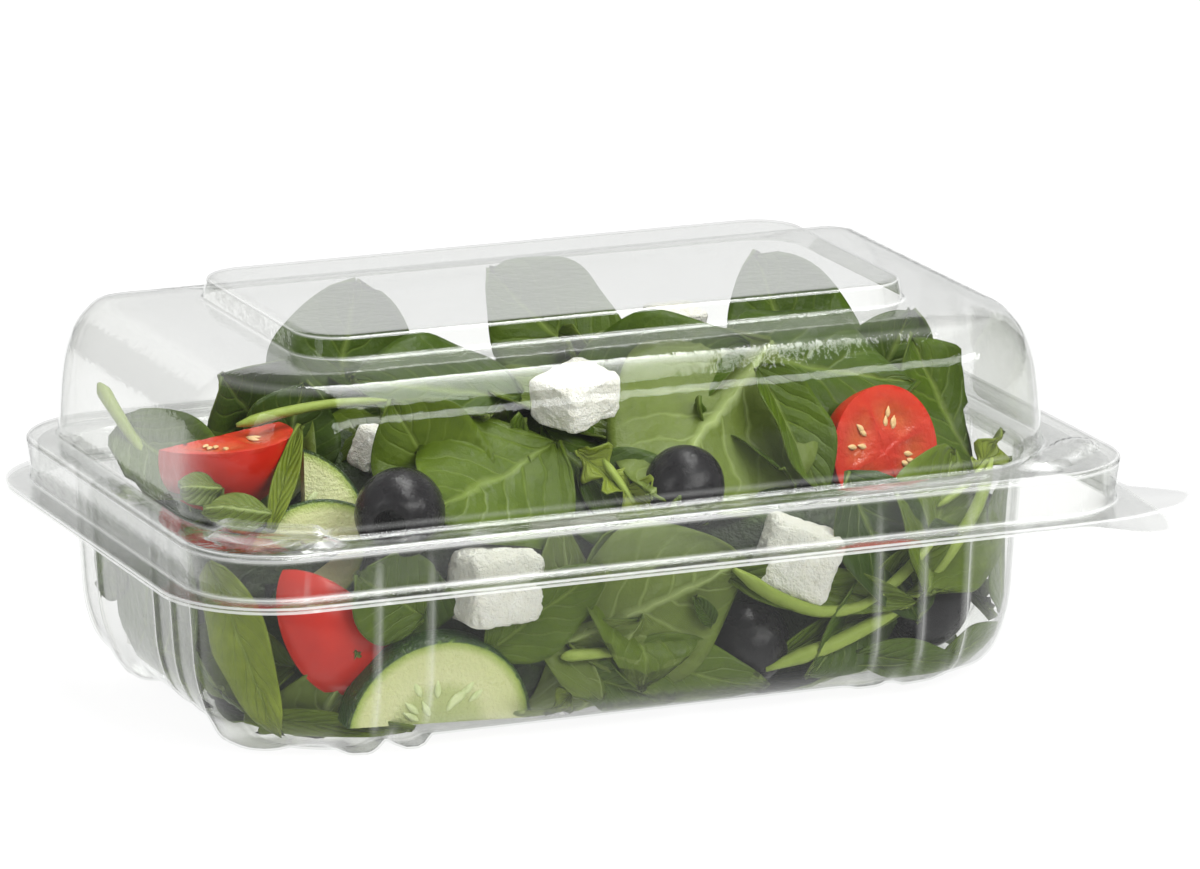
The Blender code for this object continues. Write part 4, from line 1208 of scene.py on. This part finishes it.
def cheese_parts(size, seed):
    """A crumbly cube of cheese, its edges and corners broken away."""
    bm = bmesh.new()
    bmesh.ops.create_cube(bm, size=1.0)
    bmesh.ops.subdivide_edges(bm, edges=bm.edges, cuts=26, use_grid_fill=True)
    bm.normal_update()
    points = []
    shift = Vector((seed * 11.0, seed * 5.0, 0))
    smallest = min(size)
    for vert in bm.verts:
        unit = vert.co * 2
        roundness = (abs(unit.x) ** 8 + abs(unit.y) ** 8 + abs(unit.z) ** 8) ** (1 / 8)
        place = Vector((unit.x / roundness * size[0] / 2, unit.y / roundness * size[1] / 2,
                        unit.z / roundness * size[2] / 2))
        broad = noise.noise(place * 0.22 + shift) * smallest * 0.05
        crumb = noise.fractal(place * 0.75 + shift, 0.8, 2.1, 4) * 0.32
        chip = min(0.0, noise.noise(place * 0.45 - shift) + 0.15) * smallest * 0.09
        edge = sum(1 for c in unit if abs(c) > 0.86)
        away = place.normalized()
        place += away * (broad + crumb + chip * (1.6 if edge > 1 else 0.7))
        points.append(place)
    faces = [tuple(v.index for v in f.verts) for f in bm.faces]
    bm.free()
    return [(np.array(points), faces, {}, None)]


def welded(mesh, distance=0.00003):
    bm = bmesh.new()
    bm.from_mesh(mesh)
    bmesh.ops.remove_doubles(bm, verts=bm.verts, dist=distance)
    bmesh.ops.recalc_face_normals(bm, faces=bm.faces)
    bm.to_mesh(mesh)
    bm.free()


def topping_pieces(looks):
    """Each topping as its own piece in place of its node, and the seeds of each kind."""
    seeds = {"tomato": [], "cucumber": []}
    for number, (name, sizes, place, axis, facing) in enumerate(TOPPINGS):
        kind = name.split("_")[0]
        if kind == "tomato":
            parts, pips = tomato_parts(sizes)
        elif kind == "cucumber":
            parts, pips = cucumber_parts(*sizes, seed=number)
        elif kind == "olive":
            parts, pips = olive_parts(*sizes), []
        else:
            parts, pips = cheese_parts(sizes[:3], sizes[3]), []
            kind = "feta"
        turn = turned(axis, facing)
        points, faces, values, _ = joined(parts)
        mesh = make_mesh(name + "_piece", points @ turn + np.array(place), faces, looks[kind], values)
        if kind != "feta":
            welded(mesh)
        mesh.set_sharp_from_angle(angle=math.radians(60))
        finish_piece(add_object(name + "_piece", mesh), "tray", [name])
        for part_points, part_faces, part_values, _ in pips:
            seeds[kind].append((part_points @ turn + np.array(place), part_faces, part_values, None))
    for kind, parts in seeds.items():
        points, faces, _, _ = joined(parts)
        mesh = make_mesh(kind + "_seeds", points, faces, looks[kind + "_seed"])
        welded(mesh, 0.000001)
        finish_piece(add_object(kind + "_seeds", mesh), "tray")


def topping_reach():
    """Middle and reach of each topping, to keep loose leaves off them."""
    return [(np.array(place, float), max(sizes[:2]) * (0.45 if name[0] in "of" else 0.7) + 5.0)
            for name, sizes, place, _, _ in TOPPINGS]


def crumb_mesh(seed, looks):
    bm = bmesh.new()
    bmesh.ops.create_icosphere(bm, subdivisions=1, radius=0.5)
    dice = random.Random(seed)
    for vert in bm.verts:
        vert.co *= dice.uniform(0.6, 1.2)
    points = np.array([vert.co[:] for vert in bm.verts])
    faces = [tuple(v.index for v in face.verts) for face in bm.faces]
    bm.free()
    return local_mesh(f"crumb_kind_{seed}", points, faces, looks)


# ---------------------------------------------------------------- studio

def camera_and_light():
    azimuth, elevation, distance = math.radians(-22.87), math.radians(14.06), 1.90699
    back = Vector((math.sin(azimuth) * math.cos(elevation), -math.cos(azimuth) * math.cos(elevation),
                   math.sin(elevation)))
    right = (-back).cross(Vector((0, 0, 1))).normalized()
    up = right.cross(-back)
    target = Vector(ORIGIN) * MM + Vector((0, 0, RIM_TOP * MM))
    data = bpy.data.cameras.new("camera")
    data.sensor_width = 36.0
    data.lens = 272.54
    data.clip_end = 50.0
    camera = bpy.data.objects.new("camera", data)
    camera.location = target + back * distance + right * 0.0061 + up * 0.00159
    camera.rotation_euler = Matrix((right, up, back)).transposed().to_euler()
    bpy.context.scene.collection.objects.link(camera)
    bpy.context.scene.camera = camera

    for name, place, size, power in (("key", (0.62, -1.25, 1.0), (1.7, 0.32), 25.0),
                                     ("top", (0.35, 0.0, 1.4), (1.5, 0.5), 25.0),
                                     ("side", (-1.3, -0.5, 0.9), (0.5, 0.9), 8.0),
                                     ("rear", (0.5, 1.45, 0.5), (2.4, 0.8), 3.4)):
        light = bpy.data.lights.new(name, "AREA")
        light.shape = "RECTANGLE"
        light.size, light.size_y = size
        light.energy = power
        lamp = bpy.data.objects.new(name, light)
        lamp.location = place
        lamp.rotation_euler = (Vector((0, 0, 0.04)) - Vector(place)).to_track_quat("-Z", "Y").to_euler()
        bpy.context.scene.collection.objects.link(lamp)

    world = bpy.data.worlds.new("studio")
    world.use_nodes = True
    world.node_tree.nodes["Background"].inputs["Color"].default_value = rgb(1.0, 1.0, 1.0)
    world.node_tree.nodes["Background"].inputs["Strength"].default_value = 0.3
    bpy.context.scene.world = world
    bpy.context.scene.view_settings.view_transform = "Standard"
    bpy.context.scene.cycles.transparent_max_bounces = 32

    points, faces = bridged([np.array([(-5000, -5000, 0), (5000, -5000, 0)], float),
                             np.array([(-5000, 5000, 0), (5000, 5000, 0)], float)], loop=False)
    floor = add_object("floor", make_mesh("floor", points - ORIGIN, faces, floor_material()))


def main():
    clear_lid = clear_sheet_material("clear lid sheet", 0.002, (0.85, 0.86, 0.85), 0.74)
    clear_tray = clear_sheet_material("clear tray sheet", 0.010, (0.85, 0.86, 0.84), 0.74)
    leaf_looks = leaf_material()
    looks = {"tomato": tomato_material(), "cucumber": cucumber_material(), "olive": olive_material(),
             "feta": cheese_material(),
             "tomato_seed": seed_material("tomato seed", rgb(0.72, 0.42, 0.16), rgb(0.86, 0.66, 0.34), 0.25),
             "cucumber_seed": seed_material("cucumber seed", rgb(0.50, 0.60, 0.24),
                                            rgb(0.72, 0.78, 0.46), 0.25)}
    lid = sheet_piece("lid_moulding", *lid_rings(), LID_SHEET, clear_lid)
    finish_piece(lid, "lid", ["lid"])
    tray = sheet_piece("tray_moulding", *tray_rings(), TRAY_SHEET, clear_tray)
    finish_piece(tray, "tray", ["tray"])
    hinge_strip(clear_tray)

    topping_pieces(looks)
    core = heap_core(core_material(), topping_reach())
    scatter = scatter_tree("scatter over heap")
    loose = loose_leaves(scatter, core, leaf_looks)
    parts = [placed_leaf(base, tip, facing, width, tone, pale, seed=number, **shape)
             for number, (base, tip, facing, width, tone, pale, shape) in enumerate(LEAVES)]
    parts += [stalk(path, radius, end_radius) for path, radius, end_radius in STALKS]
    points, faces, values, leaf_map = joined(parts)
    mesh = make_mesh("large_leaves", points, faces, leaf_looks, values, leaf_map)
    finish_piece(add_object("large_leaves", mesh), "tray", ["salad"])

    crumbs = scattered(scatter, "cheese_crumbs", loose.data,
                       kinds_collection("crumb_kinds", [crumb_mesh(s, looks["feta"]) for s in range(3)]), {
        "Kinds": bpy.data.collections["crumb_kinds"], "Finish": looks["feta"], "Spacing": 0.012,
        "Most per area": 300.0, "Smallest": 0.6, "Largest": 1.5, "Tilt": 0.6, "Seed": 3})
    finish_piece(add_object("cheese_crumbs", crumbs), "tray")
    camera_and_light()


main()
